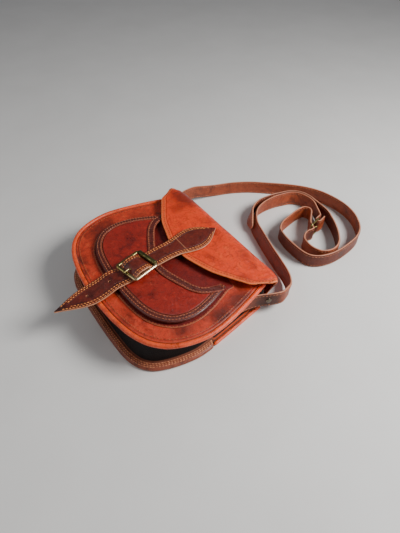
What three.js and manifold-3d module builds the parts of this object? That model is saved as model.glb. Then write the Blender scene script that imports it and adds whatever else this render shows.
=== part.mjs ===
// A half-round leather saddle bag with its shoulder strap, lying on its back on a flat surface.
// Millimetres. X runs across the bag, Y from its round bottom up to the fold of the flap, Z up.
// The origin is the middle of the flat underside of the back panel.

import * as THREE from 'three';
import Module from 'manifold-3d';
import { mergeVertices } from 'three/addons/utils/BufferGeometryUtils.js';

const wasm = await Module();
wasm.setup();

// Driving dimensions of the bag
const bagHeight = 185;        // fold corners to the bottom of the back
const frontWidth = 258;       // widest place of the front panel
const backWidth = 237;        // widest place of the back panel
const bagDepth = 50.5;        // surface to the outer face of the front panel at its edge
const frontBulge = 2;         // how far the front panel domes above its edge
const foldY = 85;             // height of the fold corners on the page of the bag

// Leather thicknesses and running gaps
const panelLeather = 2.2;
const gussetLeather = 1.6;
const liningLeather = 1.0;
const pocketLeather = 1.5;
const trimLeather = 1.2;
const closureLeather = 2.2;
const strapLeather = 2.8;
const seam = 0.3;             // clearance between pieces that touch

// Rolled edges and the stitched foot of the gusset
const rollRadius = 3.1;
const backRollRadius = 2.4;
const footWidth = 5.5;
const bindingDrop = 80;       // fold corners down to where the light roll gives way to brown binding

// Flap
const flapWidth = 227;
const flapShift = 2;          // the flap sits a little off the middle line
const flapDrop = 64;          // fold corners to the middle of the flap's front edge
const foldReach = 20;         // how far the rolled fold stands out past its corners
const lapWidth = 14;          // flap leather stitched inside the top of the back panel

// Pocket
const pocketWidth = 193.5;
const pocketHeight = 108;
const pocketTop = 47;         // fold corners down to the pocket's upper corners
const pocketShift = 4.5;      // the pocket sits a little off the middle line
const pocketRise = 7.5;       // front panel to the pocket's outer face
const borderWidth = 8.5;
const mouthTrimWidth = 9.5;
const pocketFlange = 3.5;     // stitched margin of the pocket's back outside its border

// Closing strap and its buckle
const closureWidth = 31;
const leafWidth = 42;
const closureTop = 1;         // fold corners down to the point of the leaf
const closureLength = 228;
const buckleLength = 38;
const buckleWidth = 38;
const buckleTurn = THREE.MathUtils.degToRad(13);    // the buckle lies askew on the strap
const buckleShift = 3;        // and a little off the middle line
const buckleDrop = 121;       // fold corners down to the buckle's middle bar
const buckleWire = 3.2;
const rollerRadius = 2.3;
const prongWire = 2.4;
const strapHole = 4.6;
const holePitch = 30;
const tipSag = 3;             // how far the free tip droops below the front edge roll

// Shoulder strap
const strapWidth = 22;
const strapReach = 230;       // how far the strap is laid out past the fold corners
const strapTail = 0.9;        // clear space between the free tail and the strap that it follows
const strapBuckleWire = 3;
const strapBuckleLength = 25;
const anchorHeight = 26;      // middle of the riveted end above the surface
const rivetRadius = 3.8;
const rivetHeight = 1.8;

const frontHalf = frontWidth / 2;
const backHalf = backWidth / 2;
const pocketHalf = pocketWidth / 2;

// Finishes
const leather = (color, roughness = 0.55) =>
  new THREE.MeshStandardMaterial({ color, roughness, metalness: 0 });
const tanLeather = () => leather(0xb0502c);
const edgeLeather = () => leather(0xd0713f, 0.45);
const redLeather = () => leather(0x8a2a20);
const brownLeather = () => leather(0x6a3427, 0.6);
const darkLeather = () => leather(0x4a281d, 0.75);
const strapFinish = () => leather(0x8a5137, 0.7);
const brass = () => new THREE.MeshStandardMaterial({ color: 0x8f8a55, roughness: 0.4, metalness: 0.9 });
const steel = () => new THREE.MeshStandardMaterial({ color: 0x55504a, roughness: 0.35, metalness: 0.9 });

const v2 = (x, y) => new THREE.Vector2(x, y);
const v3 = (x, y, z) => new THREE.Vector3(x, y, z);
const mix = THREE.MathUtils.lerp;
const smooth = THREE.MathUtils.smoothstep;

// A geometry from points and triangles, turned so that its faces point outwards
function body(points, index) {
  let volume = 0;
  for (let i = 0; i < index.length; i += 3) {
    const [a, b, c] = [points[index[i]], points[index[i + 1]], points[index[i + 2]]];
    volume += a.dot(v3(0, 0, 0).crossVectors(b, c));
  }
  const geometry = new THREE.BufferGeometry();
  geometry.setAttribute('position', new THREE.Float32BufferAttribute(points.flatMap(p => [p.x, p.y, p.z]), 3));
  geometry.setIndex(volume < 0 ? index.slice().reverse() : index);
  return geometry;
}

// A sheet with an outer and an inner grid of points, closed along its four edges
function slab(outer, inner) {
  const rows = outer.length;
  const columns = outer[0].length;
  const index = [];
  const quad = (a, b, c, d) => index.push(a, b, c, a, c, d);
  const at = (i, j) => i * columns + j;
  const under = (i, j) => rows * columns + at(i, j);
  for (let i = 0; i < rows - 1; i++) {
    for (let j = 0; j < columns - 1; j++) {
      quad(at(i, j), at(i + 1, j), at(i + 1, j + 1), at(i, j + 1));
      quad(under(i, j), under(i, j + 1), under(i + 1, j + 1), under(i + 1, j));
    }
  }
  for (let j = 0; j < columns - 1; j++) {
    quad(at(0, j), at(0, j + 1), under(0, j + 1), under(0, j));
    quad(at(rows - 1, j + 1), at(rows - 1, j), under(rows - 1, j), under(rows - 1, j + 1));
  }
  for (let i = 0; i < rows - 1; i++) {
    quad(at(i + 1, 0), at(i, 0), under(i, 0), under(i + 1, 0));
    quad(at(i, columns - 1), at(i + 1, columns - 1), under(i + 1, columns - 1), under(i, columns - 1));
  }
  return body([...outer.flat(), ...inner.flat()], index);
}

// The slab whose middle surface is a grid, with a thickness measured square to it
function sheet(grid, thickness) {
  const rows = grid.length;
  const columns = grid[0].length;
  const faces = side => grid.map((row, i) => row.map((p, j) => {
    const along = grid[Math.min(i + 1, rows - 1)][j].clone().sub(grid[Math.max(i - 1, 0)][j]);
    const before = p.clone().sub(row[Math.max(j - 1, 0)]);
    const after = row[Math.min(j + 1, columns - 1)].clone().sub(p);
    const first = (j > 0 ? before : after).clone().cross(along).normalize();
    const second = (j < columns - 1 ? after : before).clone().cross(along).normalize();
    const normal = first.clone().add(second).normalize();
    const spread = Math.min(1 / Math.max(normal.dot(first), 0.6), 1.6);
    return p.clone().addScaledVector(normal, side * spread * thickness / 2);
  }));
  return slab(faces(1), faces(-1));
}

// A plate inside a closed outline, with rings towards its middle so that it can dome
function plate(outline, middle, face, thickness, rings = [1, 0.7, 0.35]) {
  const count = outline.length;
  const flat = rings.flatMap(share => outline.map(p => middle.clone().lerp(p, share)));
  flat.push(middle);
  const outer = flat.map(p => v3(p.x, p.y, face(p.x, p.y)));
  const inner = outer.map(p => v3(p.x, p.y, p.z - thickness));
  const index = [];
  const centre = flat.length - 1;
  const under = flat.length;
  for (let k = 0; k < count; k++) {
    const next = (k + 1) % count;
    for (let r = 0; r < rings.length - 1; r++) {
      const [a, b, c, d] = [r * count + k, r * count + next, (r + 1) * count + next, (r + 1) * count + k];
      index.push(a, b, c, a, c, d);
      index.push(under + a, under + c, under + b, under + a, under + d, under + c);
    }
    const last = (rings.length - 1) * count;
    index.push(last + k, last + next, centre);
    index.push(under + last + k, under + centre, under + last + next);
    index.push(k, under + k, under + next, k, under + next, next);
  }
  return body([...outer, ...inner], index);
}

// A round or oval section carried along points, open with flat ends or closed on itself
function rod(points, radius, { sides = 8, up = v3(0, 0, 1), closed = false, flat = 1 } = {}) {
  const count = points.length;
  const rim = points.map((p, i) => {
    const before = points[closed ? (i - 1 + count) % count : Math.max(i - 1, 0)];
    const after = points[closed ? (i + 1) % count : Math.min(i + 1, count - 1)];
    const along = after.clone().sub(before).normalize();
    const side = along.clone().cross(up).normalize();
    const normal = side.clone().cross(along);
    return Array.from({ length: sides }, (_, k) => {
      const turn = (k + 0.5) / sides * 2 * Math.PI;
      return p.clone().addScaledVector(side, radius * Math.cos(turn))
        .addScaledVector(normal, radius * flat * Math.sin(turn));
    });
  });
  const index = [];
  const spans = closed ? count : count - 1;
  for (let i = 0; i < spans; i++) {
    for (let k = 0; k < sides; k++) {
      const [here, there] = [i * sides, (i + 1) % count * sides];
      const next = (k + 1) % sides;
      index.push(here + k, there + k, there + next, here + k, there + next, here + next);
    }
  }
  if (!closed) {
    for (let k = 1; k < sides - 1; k++) {
      const end = (count - 1) * sides;
      index.push(0, k, k + 1, end, end + k + 1, end + k);
    }
  }
  return body(rim.flat(), index);
}

// Cutting and joining closed bodies
function toSolid(geometry) {
  const bare = geometry.clone();
  bare.deleteAttribute('normal');
  bare.deleteAttribute('uv');
  const merged = mergeVertices(bare, 1e-4);
  return new wasm.Manifold(new wasm.Mesh({
    numProp: 3,
    vertProperties: new Float32Array(merged.attributes.position.array),
    triVerts: new Uint32Array(merged.index.array),
  }));
}

function fromSolid(solid) {
  const mesh = solid.getMesh();
  const geometry = new THREE.BufferGeometry();
  geometry.setAttribute('position', new THREE.BufferAttribute(mesh.vertProperties, 3));
  geometry.setIndex(new THREE.BufferAttribute(mesh.triVerts, 1));
  return geometry;
}

const cut = (geometry, ...tools) =>
  fromSolid(tools.reduce((solid, tool) => solid.subtract(toSolid(tool)), toSolid(geometry)));
const join = (geometry, ...others) =>
  fromSolid(others.reduce((solid, other) => solid.add(toSolid(other)), toSolid(geometry)));

// A short round punch, its axis along one direction
function punch(centre, direction, radius, length) {
  const tool = new THREE.CylinderGeometry(radius, radius, length, 10);
  tool.applyQuaternion(new THREE.Quaternion().setFromUnitVectors(v3(0, 1, 0), direction));
  return tool.translate(centre.x, centre.y, centre.z);
}

// Half outlines of the panels, from the fold down to the middle of the bottom
const frontOutline = [
  { down: 0.00, out: 0.815 },
  { down: 0.15, out: 0.885 },
  { down: 0.30, out: 0.945 },
  { down: 0.46, out: 0.992 },
  { down: 0.57, out: 1.000 },
  { down: 0.70, out: 0.962 },
  { down: 0.80, out: 0.895 },
  { down: 0.885, out: 0.775 },
  { down: 0.94, out: 0.620 },
  { down: 0.975, out: 0.420 },
  { down: 0.993, out: 0.210 },
  { down: 1.000, out: 0.000 },
];
const backOutline = [
  { down: 0.00, out: 0.861 },
  { down: 0.18, out: 0.911 },
  { down: 0.39, out: 0.965 },
  { down: 0.57, out: 1.000 },
  { down: 0.70, out: 0.975 },
  { down: 0.81, out: 0.925 },
  { down: 0.885, out: 0.865 },
  { down: 0.945, out: 0.760 },
  { down: 0.982, out: 0.600 },
  { down: 0.996, out: 0.350 },
  { down: 1.000, out: 0.000 },
];
const pocketOutline = [
  { down: 0.00, out: 0.830 },
  { down: 0.12, out: 0.885 },
  { down: 0.27, out: 0.950 },
  { down: 0.42, out: 0.992 },
  { down: 0.53, out: 1.000 },
  { down: 0.64, out: 0.980 },
  { down: 0.75, out: 0.925 },
  { down: 0.84, out: 0.830 },
  { down: 0.91, out: 0.705 },
  { down: 0.96, out: 0.530 },
  { down: 0.99, out: 0.290 },
  { down: 1.00, out: 0.000 },
];

// The U that a half outline makes with its mirror image, from the left top round to the right top
function roundU(table, half, top, height, stations, middle = 0) {
  const right = table.map(row => v3(row.out * half, top - row.down * height, 0));
  const left = right.slice(0, -1).map(p => v3(-p.x, p.y, 0));
  const curve = new THREE.CatmullRomCurve3([...left, ...right.reverse()], false, 'centripetal');
  return curve.getSpacedPoints(stations).map(p => v2(p.x + middle, p.y));
}

// The outline moved inwards by a distance; a negative distance moves it out
function inset(points, distance) {
  return points.map((p, i) => {
    const after = points[Math.min(i + 1, points.length - 1)];
    const before = points[Math.max(i - 1, 0)];
    const along = after.clone().sub(before).normalize();
    return v2(p.x - along.y * distance, p.y + along.x * distance);
  });
}

const stations = 44;
const frontU = roundU(frontOutline, frontHalf, foldY, bagHeight - 1, stations);
const backU = roundU(backOutline, backHalf, foldY, bagHeight, stations);

// Outer face of the domed front panel
function frontFace(x, y) {
  const halfHeight = bagHeight / 2;
  const across = x / frontHalf;
  const along = (y - (foldY - halfHeight)) / halfHeight;
  return bagDepth + frontBulge * Math.max(0, 1 - across * across - along * along);
}

// Back panel, the flat sheet that the bag lies on
const backEdge = backRollRadius * 2 + seam;
const backOuter = inset(backU, backEdge);
function backPanel() {
  return plate(backOuter, v2(0, 0), () => panelLeather, panelLeather, [1, 0.5]);
}

// Gusset: rows from the stitched foot on the back panel up to the turned-in top under the front.
// Its middle sinks in, but at the bag's two upper ends the wall stands straight and flares out.
const gussetRows = [
  { front: 0.00, in: 0.0, end: 0.0, rise: 0.00 },
  { front: 0.00, in: 1.0, end: 1.0, rise: 0.00 },
  { front: 0.00, in: 1.3, end: 1.2, rise: 0.09 },
  { front: 0.15, in: 1.7, end: 0.4, rise: 0.26 },
  { front: 0.45, in: 2.2, end: 0.4, rise: 0.52 },
  { front: 0.80, in: 1.6, end: 0.4, rise: 0.78 },
  { front: 1.00, in: 1.0, end: 1.0, rise: 0.96 },
  { front: 1.00, in: 1.2, end: 1.2, rise: 1.00 },
  { front: 1.00, in: 2.2, end: 2.2, rise: 1.00 },
];
const wallRows = [3, 4, 5];
const frontPanelEdge = rollRadius * 2 + seam;
function gussetGrid() {
  return backU.map((_, i) => {
    const fromEnd = Math.min(i, stations - i);
    const straight = 1 - smooth(fromEnd, 2, 7);
    const flare = 1 - smooth(fromEnd, 0, 3);
    return gussetRows.map((row, r) => {
      const wall = wallRows.includes(r);
      const share = mix(row.in, row.end + (wall ? 1.2 - 2.4 * flare : 0), straight);
      const front = mix(row.front, wall ? 0.5 : row.front, straight);
      const low = inset(backU, backEdge + share * footWidth)[i];
      const high = inset(frontU, frontPanelEdge + share * footWidth)[i];
      const p = low.lerp(high, front);
      const bottom = panelLeather + seam + gussetLeather / 2;
      const top = frontFace(p.x, p.y) - panelLeather - seam - gussetLeather / 2;
      return v3(p.x, p.y, mix(bottom, top, row.rise));
    });
  });
}

function frontPanel() {
  return plate(inset(frontU, frontPanelEdge), v2(0, foldY - bagHeight * 0.45), frontFace, panelLeather);
}

// The light rolled edge round the front panel
const rollCentre = bagDepth - rollRadius * 0.6;
function frontRoll() {
  const line = inset(frontU, rollRadius).map(p => v3(p.x, p.y, rollCentre));
  return rod(line, rollRadius, { sides: 8 });
}

// Where the brown binding of the back edge ends and the light roll begins, as stations of the U
const bindingStart = backU.findIndex(p => p.y < foldY - bindingDrop);
const bindingEnd = stations - bindingStart;

function backRoll(from, to) {
  const line = inset(backU, backRollRadius).slice(from, to + 1);
  return rod(line.map(p => v3(p.x, p.y, backRollRadius)), backRollRadius, { sides: 8 });
}

// The binding lies on the gusset's foot and turns down round the edge of the back
function bottomBinding() {
  const top = panelLeather + seam + gussetLeather + seam + trimLeather / 2;
  const turn = trimLeather / 2;
  const rows = [
    { depth: backEdge + footWidth - gussetLeather - 2 * seam, level: top },
    { depth: backEdge, level: top },
    { depth: backEdge * 0.55, level: top - 0.3 },
    { depth: turn, level: top * 0.62 },
    { depth: turn, level: trimLeather / 2 + seam },
  ];
  const lines = rows.map(row => inset(backU, row.depth));
  const parting = 2 * seam / backU[bindingStart].distanceTo(backU[bindingStart + 1]);
  const between = Array.from({ length: bindingEnd - bindingStart - 1 }, (_, k) => bindingStart + 1 + k);
  const range = [bindingStart + parting, ...between, bindingEnd - parting];
  const pointAt = (line, at) => line[Math.floor(at)].clone().lerp(line[Math.ceil(at)], at % 1);
  return sheet(range.map(at => rows.map((row, r) => {
    const p = pointAt(lines[r], at);
    return v3(p.x, p.y, row.level);
  })), trimLeather);
}

// Flap: its section runs from the lap inside the back, round the rolled fold, to the front edge
const flapFace = frontFace(0, foldY - pocketTop) + pocketRise + seam + panelLeather;
const foldRows = [
  { out: -0.50, up: 0.00, wide: 0.750 },
  { out: 0.04, up: 0.00, wide: 0.750 },
  { out: 0.42, up: 0.02, wide: 0.810 },
  { out: 0.78, up: 0.14, wide: 0.825 },
  { out: 0.96, up: 0.34, wide: 0.860 },
  { out: 1.00, up: 0.56, wide: 0.905 },
  { out: 0.88, up: 0.78, wide: 0.955 },
  { out: 0.58, up: 0.93, wide: 0.985 },
  { out: 0.20, up: 0.99, wide: 1.000 },
];
const flapEdge = [
  { across: 0.00, drop: 1.00, fold: 1.00 },
  { across: 0.15, drop: 0.985, fold: 1.00 },
  { across: 0.32, drop: 0.90, fold: 1.00 },
  { across: 0.50, drop: 0.79, fold: 1.00 },
  { across: 0.66, drop: 0.63, fold: 1.00 },
  { across: 0.80, drop: 0.475, fold: 1.00 },
  { across: 0.88, drop: 0.38, fold: 0.97 },
  { across: 0.94, drop: 0.19, fold: 0.88 },
  { across: 1.00, drop: 0.03, fold: 0.64 },
];
function shareAt(table, key, value, at) {
  const i = Math.max(1, table.findIndex(row => row[key] >= at));
  const [a, b] = [table[i - 1], table[i]];
  return mix(a[value], b[value], (at - a[key]) / (b[key] - a[key]));
}
function flap() {
  const low = panelLeather + seam + panelLeather / 2;
  const high = flapFace - panelLeather / 2;
  const half = flapWidth / 2;
  const sides = flapEdge.slice(1).map(row => row.across);
  const across = [...sides.map(share => -share).reverse(), 0, ...sides];
  const frontShares = [0.25, 0.5, 0.75, 1];
  const grid = across.map(share => {
    const drop = flapDrop * shareAt(flapEdge, 'across', 'drop', Math.abs(share));
    const reach = foldReach * shareAt(flapEdge, 'across', 'fold', Math.abs(share));
    const foldEnd = foldRows.at(-1).out * reach;
    const fold = foldRows.map(row => {
      const y = row.out < 0 ? foldY - lapWidth : foldY + row.out * reach;
      return v3(share * half * row.wide + flapShift, y, mix(low, high, row.up));
    });
    const front = frontShares.map(part => foldY + foldEnd - part * (drop + foldEnd))
      .map(y => v3(share * half + flapShift, y, high));
    return [...fold, ...front];
  });
  return sheet(grid, panelLeather);
}

// Pocket: its outer face stands off the front panel, less so towards its upper corners
const pocketY = foldY - pocketTop;
const pocketU = roundU(pocketOutline, pocketHalf, pocketY, pocketHeight, stations, pocketShift);
function pocketFace(x, y) {
  const settled = smooth(pocketY - y, -0.1 * pocketHeight, 0.35 * pocketHeight);
  return frontFace(x, y) + pocketRise * mix(0.75, 1, settled);
}

const pocketBackFace = (x, y) => frontFace(x, y) + seam + liningLeather;
function pocketBack() {
  const outline = inset(pocketU, -pocketFlange);
  const top = pocketY + 0.1 * pocketHeight;
  const corners = [0.86, 0.4, 0, -0.4, -0.86].map(share => v2(share * pocketHalf + pocketShift, top));
  const middle = v2(pocketShift, pocketY - 0.5 * pocketHeight);
  return plate([...outline, ...corners], middle, pocketBackFace, liningLeather);
}

// The mouth, from the left upper corner down across the pocket and up to the right corner
const mouthLine = [
  { across: -0.740, down: -0.060 },
  { across: -0.700, down: 0.080 },
  { across: -0.590, down: 0.195 },
  { across: -0.410, down: 0.295 },
  { across: -0.210, down: 0.390 },
  { across: -0.020, down: 0.455 },
  { across: 0.170, down: 0.475 },
  { across: 0.380, down: 0.425 },
  { across: 0.570, down: 0.365 },
  { across: 0.705, down: 0.300 },
  { across: 0.785, down: 0.210 },
  { across: 0.815, down: 0.100 },
];
const mouthStations = 26;
const mouthCurve = new THREE.CatmullRomCurve3(
  mouthLine.map(row => v3(row.across * pocketHalf + pocketShift, pocketY - row.down * pocketHeight, 0)),
  false, 'centripetal');
const mouth = mouthCurve.getSpacedPoints(mouthStations).map(p => v2(p.x, p.y));

function pocketFront() {
  const outer = faceAt => {
    const border = inset(pocketU, borderWidth + 2 * seam);
    const lower = new THREE.SplineCurve(border.slice(2, stations - 1)).getSpacedPoints(mouthStations);
    const upper = inset(mouth, mouthTrimWidth / 2 - 0.8);
    return upper.map((p, i) => [0, 0.33, 0.67, 1].map(part => {
      const q = p.clone().lerp(lower[i], part);
      return v3(q.x, q.y, faceAt(q.x, q.y));
    }));
  };
  return slab(outer(pocketFace), outer((x, y) => pocketFace(x, y) - pocketLeather));
}

// The brown border, rolled down and under along its outer edge
const borderRows = [
  { in: 1.00, sink: 0.00 },
  { in: 0.55, sink: 0.00 },
  { in: 0.24, sink: 0.05 },
  { in: 0.09, sink: 0.20 },
  { in: 0.09, sink: 0.38 },
  { in: 0.26, sink: 0.52 },
];
function pocketBorder() {
  const lines = borderRows.map(row => inset(pocketU, row.in * borderWidth));
  const grid = lines[0].map((_, i) => borderRows.map((row, r) => {
    const p = lines[r][i];
    const clear = pocketFace(p.x, p.y) - pocketBackFace(p.x, p.y);
    return v3(p.x, p.y, pocketFace(p.x, p.y) - trimLeather / 2 - row.sink * clear);
  }));
  return sheet(grid, trimLeather);
}

// The pocket's low wall stands inside the border, from the front panel's side up to the border
const pocketWallRows = [
  { in: 0.95, rise: 0 },
  { in: 0.75, rise: 0.5 },
  { in: 0.95, rise: 1 },
];
function pocketWall() {
  const lines = pocketWallRows.map(row => inset(pocketU, row.in * borderWidth));
  const grid = lines[0].map((_, i) => pocketWallRows.map((row, r) => {
    const p = lines[r][i];
    const low = pocketBackFace(p.x, p.y) + 2 * seam;
    const high = pocketFace(p.x, p.y) - Math.max(trimLeather, pocketLeather) - 2 * seam;
    return v3(p.x, p.y, mix(low, high, row.rise));
  }));
  return sheet(grid, liningLeather);
}

const mouthTrimFace = (x, y) => pocketFace(x, y) + seam + trimLeather;
function mouthTrim() {
  const upper = inset(mouth, mouthTrimWidth / 2);
  const lower = inset(mouth, -mouthTrimWidth / 2);
  const faceAt = lift => upper.map((p, i) => [0, 0.5, 1].map(part => {
    const q = p.clone().lerp(lower[i], part);
    return v3(q.x, q.y, mouthTrimFace(q.x, q.y) - lift);
  }));
  return slab(faceAt(0), faceAt(trimLeather));
}

// Levels along the closing strap's middle line
const buckleY = foldY - buckleDrop;
const flapEdgeY = foldY - flapDrop;
const trimY = mouthCurve.getPoint(0.47).y;
const trimTop = mouthTrimFace(0, trimY);
const chapeTop = pocketFace(0, buckleY) + seam + trimLeather;
const middleBarZ = chapeTop + prongWire * 0.9;
const frameZ = Math.max(trimTop + 2 * seam + closureLeather + rollerRadius, middleBarZ + buckleWire * 0.5);
const underBar = frameZ - rollerRadius - seam - closureLeather / 2;
const overBar = middleBarZ + buckleWire * 0.4 + 2 * seam + prongWire + closureLeather * 0.8;
const onTop = seam + closureLeather / 2;
const onFlap = flapFace + onTop;
const bottomY = foldY - bagHeight;
const pocketBottomY = pocketY - pocketHeight;
const onBorder = pocketFace(0, pocketBottomY + borderWidth) + onTop;
const onRoll = rollCentre + rollRadius + onTop;
const leafY = foldY - closureTop;
const tipY = leafY - closureLength;
const barY = buckleLength / 2;
const closureRows = [
  { y: leafY, leaf: 0.04, z: onFlap },
  { y: mix(leafY, flapEdgeY, 0.12), leaf: 0.34, z: onFlap },
  { y: mix(leafY, flapEdgeY, 0.32), leaf: 0.80, z: onFlap },
  { y: mix(leafY, flapEdgeY, 0.55), leaf: 1.00, z: onFlap },
  { y: mix(leafY, flapEdgeY, 0.80), leaf: 0.90, z: onFlap },
  { y: flapEdgeY, band: 1.00, z: onFlap + 0.4 },
  { y: mix(flapEdgeY, trimY, 0.5), band: 0.93, z: mix(onFlap, underBar, 0.6) + 0.4 },
  { y: trimY + mouthTrimWidth * 0.6, band: 0.93, z: underBar },
  { y: buckleY + barY - buckleWire, band: 0.90, askew: 1, z: underBar },
  { y: buckleY + buckleLength * 0.32, band: 0.88, askew: 1, z: mix(underBar, overBar, 0.35) },
  { y: buckleY + buckleLength * 0.17, band: 0.90, askew: 1, z: mix(underBar, overBar, 0.9) },
  { y: buckleY, band: 0.92, askew: 1, z: overBar },
  { y: buckleY - buckleLength * 0.17, band: 0.90, askew: 1, z: mix(underBar, overBar, 0.9) },
  { y: buckleY - buckleLength * 0.32, band: 0.88, askew: 1, z: mix(underBar, overBar, 0.35) },
  { y: buckleY - barY + buckleWire, band: 0.92, askew: 1, z: underBar },
  { y: pocketBottomY + borderWidth, band: 1.01, drift: 0.9, z: onBorder + 0.2 },
  { y: pocketBottomY, band: 1.02, drift: 0.85, z: onBorder - 0.2 },
  { y: mix(pocketBottomY, bottomY, 0.5), band: 1.03, drift: 0.8, z: mix(onBorder, onRoll, 0.65) },
  { y: bottomY, band: 1.02, drift: 0.65, z: onRoll },
  { y: mix(bottomY, tipY, 0.3), band: 0.85, drift: 0.45, z: onRoll - tipSag * 0.25 },
  { y: mix(bottomY, tipY, 0.6), band: 0.53, drift: 0.2, z: onRoll - tipSag * 0.55 },
  { y: mix(bottomY, tipY, 0.85), band: 0.22, z: onRoll - tipSag * 0.85 },
  { y: tipY, band: 0.05, z: onRoll - tipSag },
];
const prongHoleY = buckleY - buckleLength * 0.27;
const askewX = y => buckleShift + (buckleY - y) * Math.sin(buckleTurn);
const strapFollows = 0.6;     // share of the buckle's turn that the strap in it follows
const closureMiddle = row =>
  row.askew ? mix(buckleShift, askewX(row.y), strapFollows) : buckleShift * (row.drift ?? 0);
function closureAt(y) {
  const i = Math.max(1, closureRows.findIndex(row => row.y <= y));
  const [a, b] = [closureRows[i - 1], closureRows[i]];
  const part = (y - a.y) / (b.y - a.y);
  return { middle: mix(closureMiddle(a), closureMiddle(b), part), level: mix(a.z, b.z, part) };
}
function closingStrap() {
  const grid = closureRows.map(row => [-1, 0, 1].map(side => {
    const half = side * (row.leaf ? row.leaf * leafWidth : row.band * closureWidth) / 2;
    const y = row.y + half * Math.tan(buckleTurn) * (row.askew ?? 0);
    return v3(closureMiddle(row) + half, y, row.z);
  }));
  const hole = (x, y, radius) => punch(v3(x, y, closureAt(y).level), v3(0, 0, 1), radius, closureLeather * 5);
  const firstHole = prongHoleY - holePitch * 0.9;
  const slot = [-0.3, 0.3].map(part => prongHoleY + part * strapHole)
    .map(y => hole(askewX(y), y, strapHole / 2));
  const spare = [firstHole, firstHole - holePitch].map(y => hole(closureAt(y).middle, y, strapHole / 3));
  return cut(sheet(grid, closureLeather), ...slot, ...spare);
}

// Rectangular loop with rounded corners, in the plane of two directions
function loopPoints(length, width, corner, place) {
  const points = [];
  for (const [sx, sy, start] of [[1, 1, 0], [-1, 1, 1], [-1, -1, 2], [1, -1, 3]]) {
    for (const part of [0, 0.5, 1]) {
      const turn = (start + part) * Math.PI / 2;
      const x = sx * (width / 2 - corner) + corner * Math.cos(turn);
      const y = sy * (length / 2 - corner) + corner * Math.sin(turn);
      points.push(place(x, y));
    }
  }
  return points;
}

// The buckle's pieces turn together about the middle of its middle bar
const turned = geometry =>
  geometry.translate(0, -buckleY, 0).rotateZ(buckleTurn).translate(buckleShift, buckleY, 0);

// Frame with a middle bar set lower than its two end bars, and a roller on the upper one
function buckleFrame() {
  const wire = buckleWire / 2;
  const place = (x, y) => v3(x, buckleY + y, frameZ);
  const outline = loopPoints(buckleLength - buckleWire, buckleWidth - buckleWire, 3.2, place);
  const frame = rod(outline, wire, { closed: true });
  const half = buckleWidth / 2 - wire;
  const bar = rod([-1, 1].map(side => v3(side * half, buckleY, middleBarZ)), wire * 0.8, { sides: 8 });
  const posts = [-1, 1].map(side => rod(
    [v3(side * half, buckleY, middleBarZ - wire * 0.8), v3(side * half, buckleY, frameZ)],
    wire * 0.9, { up: v3(0, 1, 0), sides: 8 }));
  return turned(join(frame, bar, ...posts));
}
function buckleRoller() {
  const y = buckleY + buckleLength / 2 - buckleWire / 2;
  const half = closureWidth / 2 - 1;
  const ring = [];
  for (const [x, r] of [[-half, rollerRadius], [half, rollerRadius],
    [half, buckleWire / 2 + seam], [-half, buckleWire / 2 + seam], [-half, rollerRadius]]) {
    ring.push(v2(r, x));
  }
  const sleeve = new THREE.LatheGeometry(ring, 10);
  return turned(sleeve.rotateZ(Math.PI / 2).translate(0, y, frameZ));
}

// The prong hooks round the middle bar, comes up through the strap and rests on the lower bar
function bucklePin() {
  const reach = prongWire / 2 + buckleWire * 0.4 + seam;
  const rest = frameZ + buckleWire / 2 + seam + prongWire / 2;
  const endY = buckleY - buckleLength / 2;
  const points = [
    v3(0, buckleY + reach * 0.2, middleBarZ + reach),
    v3(0, buckleY + reach * 0.9, middleBarZ + reach * 0.45),
    v3(0, buckleY + reach, middleBarZ - reach * 0.1),
    v3(0, buckleY + reach * 0.5, middleBarZ - reach * 0.85),
    v3(0, buckleY - reach * 0.4, middleBarZ - reach * 0.95),
    v3(0, buckleY - reach * 1.1, middleBarZ - reach * 0.4),
    v3(0, prongHoleY + strapHole * 0.55, mix(middleBarZ, rest, 0.35)),
    v3(0, prongHoleY, mix(middleBarZ, rest, 0.75)),
    v3(0, prongHoleY - strapHole * 0.7, rest),
    v3(0, endY - 2.5, rest - 0.1),
  ];
  return turned(rod(points, prongWire / 2, { up: v3(1, 0, 0), sides: 6 }));
}

// The short leather chape that holds the buckle's middle bar to the pocket
function buckleChape() {
  const reach = buckleWire * 0.4 + seam + trimLeather / 2;
  const low = pocketFace(0, buckleY) + seam + trimLeather / 2;
  const rows = [
    { y: buckleY + buckleLength * 0.30, z: low - 0.05 },
    { y: buckleY + reach * 1.4, z: low },
    { y: buckleY - reach * 0.6, z: low },
    { y: buckleY - reach * 1.05, z: mix(low, middleBarZ, 0.5) },
    { y: buckleY - reach, z: middleBarZ + reach * 0.3 },
    { y: buckleY - reach * 0.3, z: middleBarZ + reach },
    { y: buckleY + reach * 0.6, z: middleBarZ + reach * 0.9 },
  ];
  const half = closureWidth * 0.3;
  const grid = rows.map(row => [-half, half].map(x => v3(x, row.y, row.z)));
  const slot = new THREE.BoxGeometry(prongWire * 2.2, buckleLength * 0.44, 14);
  slot.translate(0, buckleY - buckleLength * 0.06, middleBarZ);
  return turned(cut(sheet(grid, trimLeather), slot));
}

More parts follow.
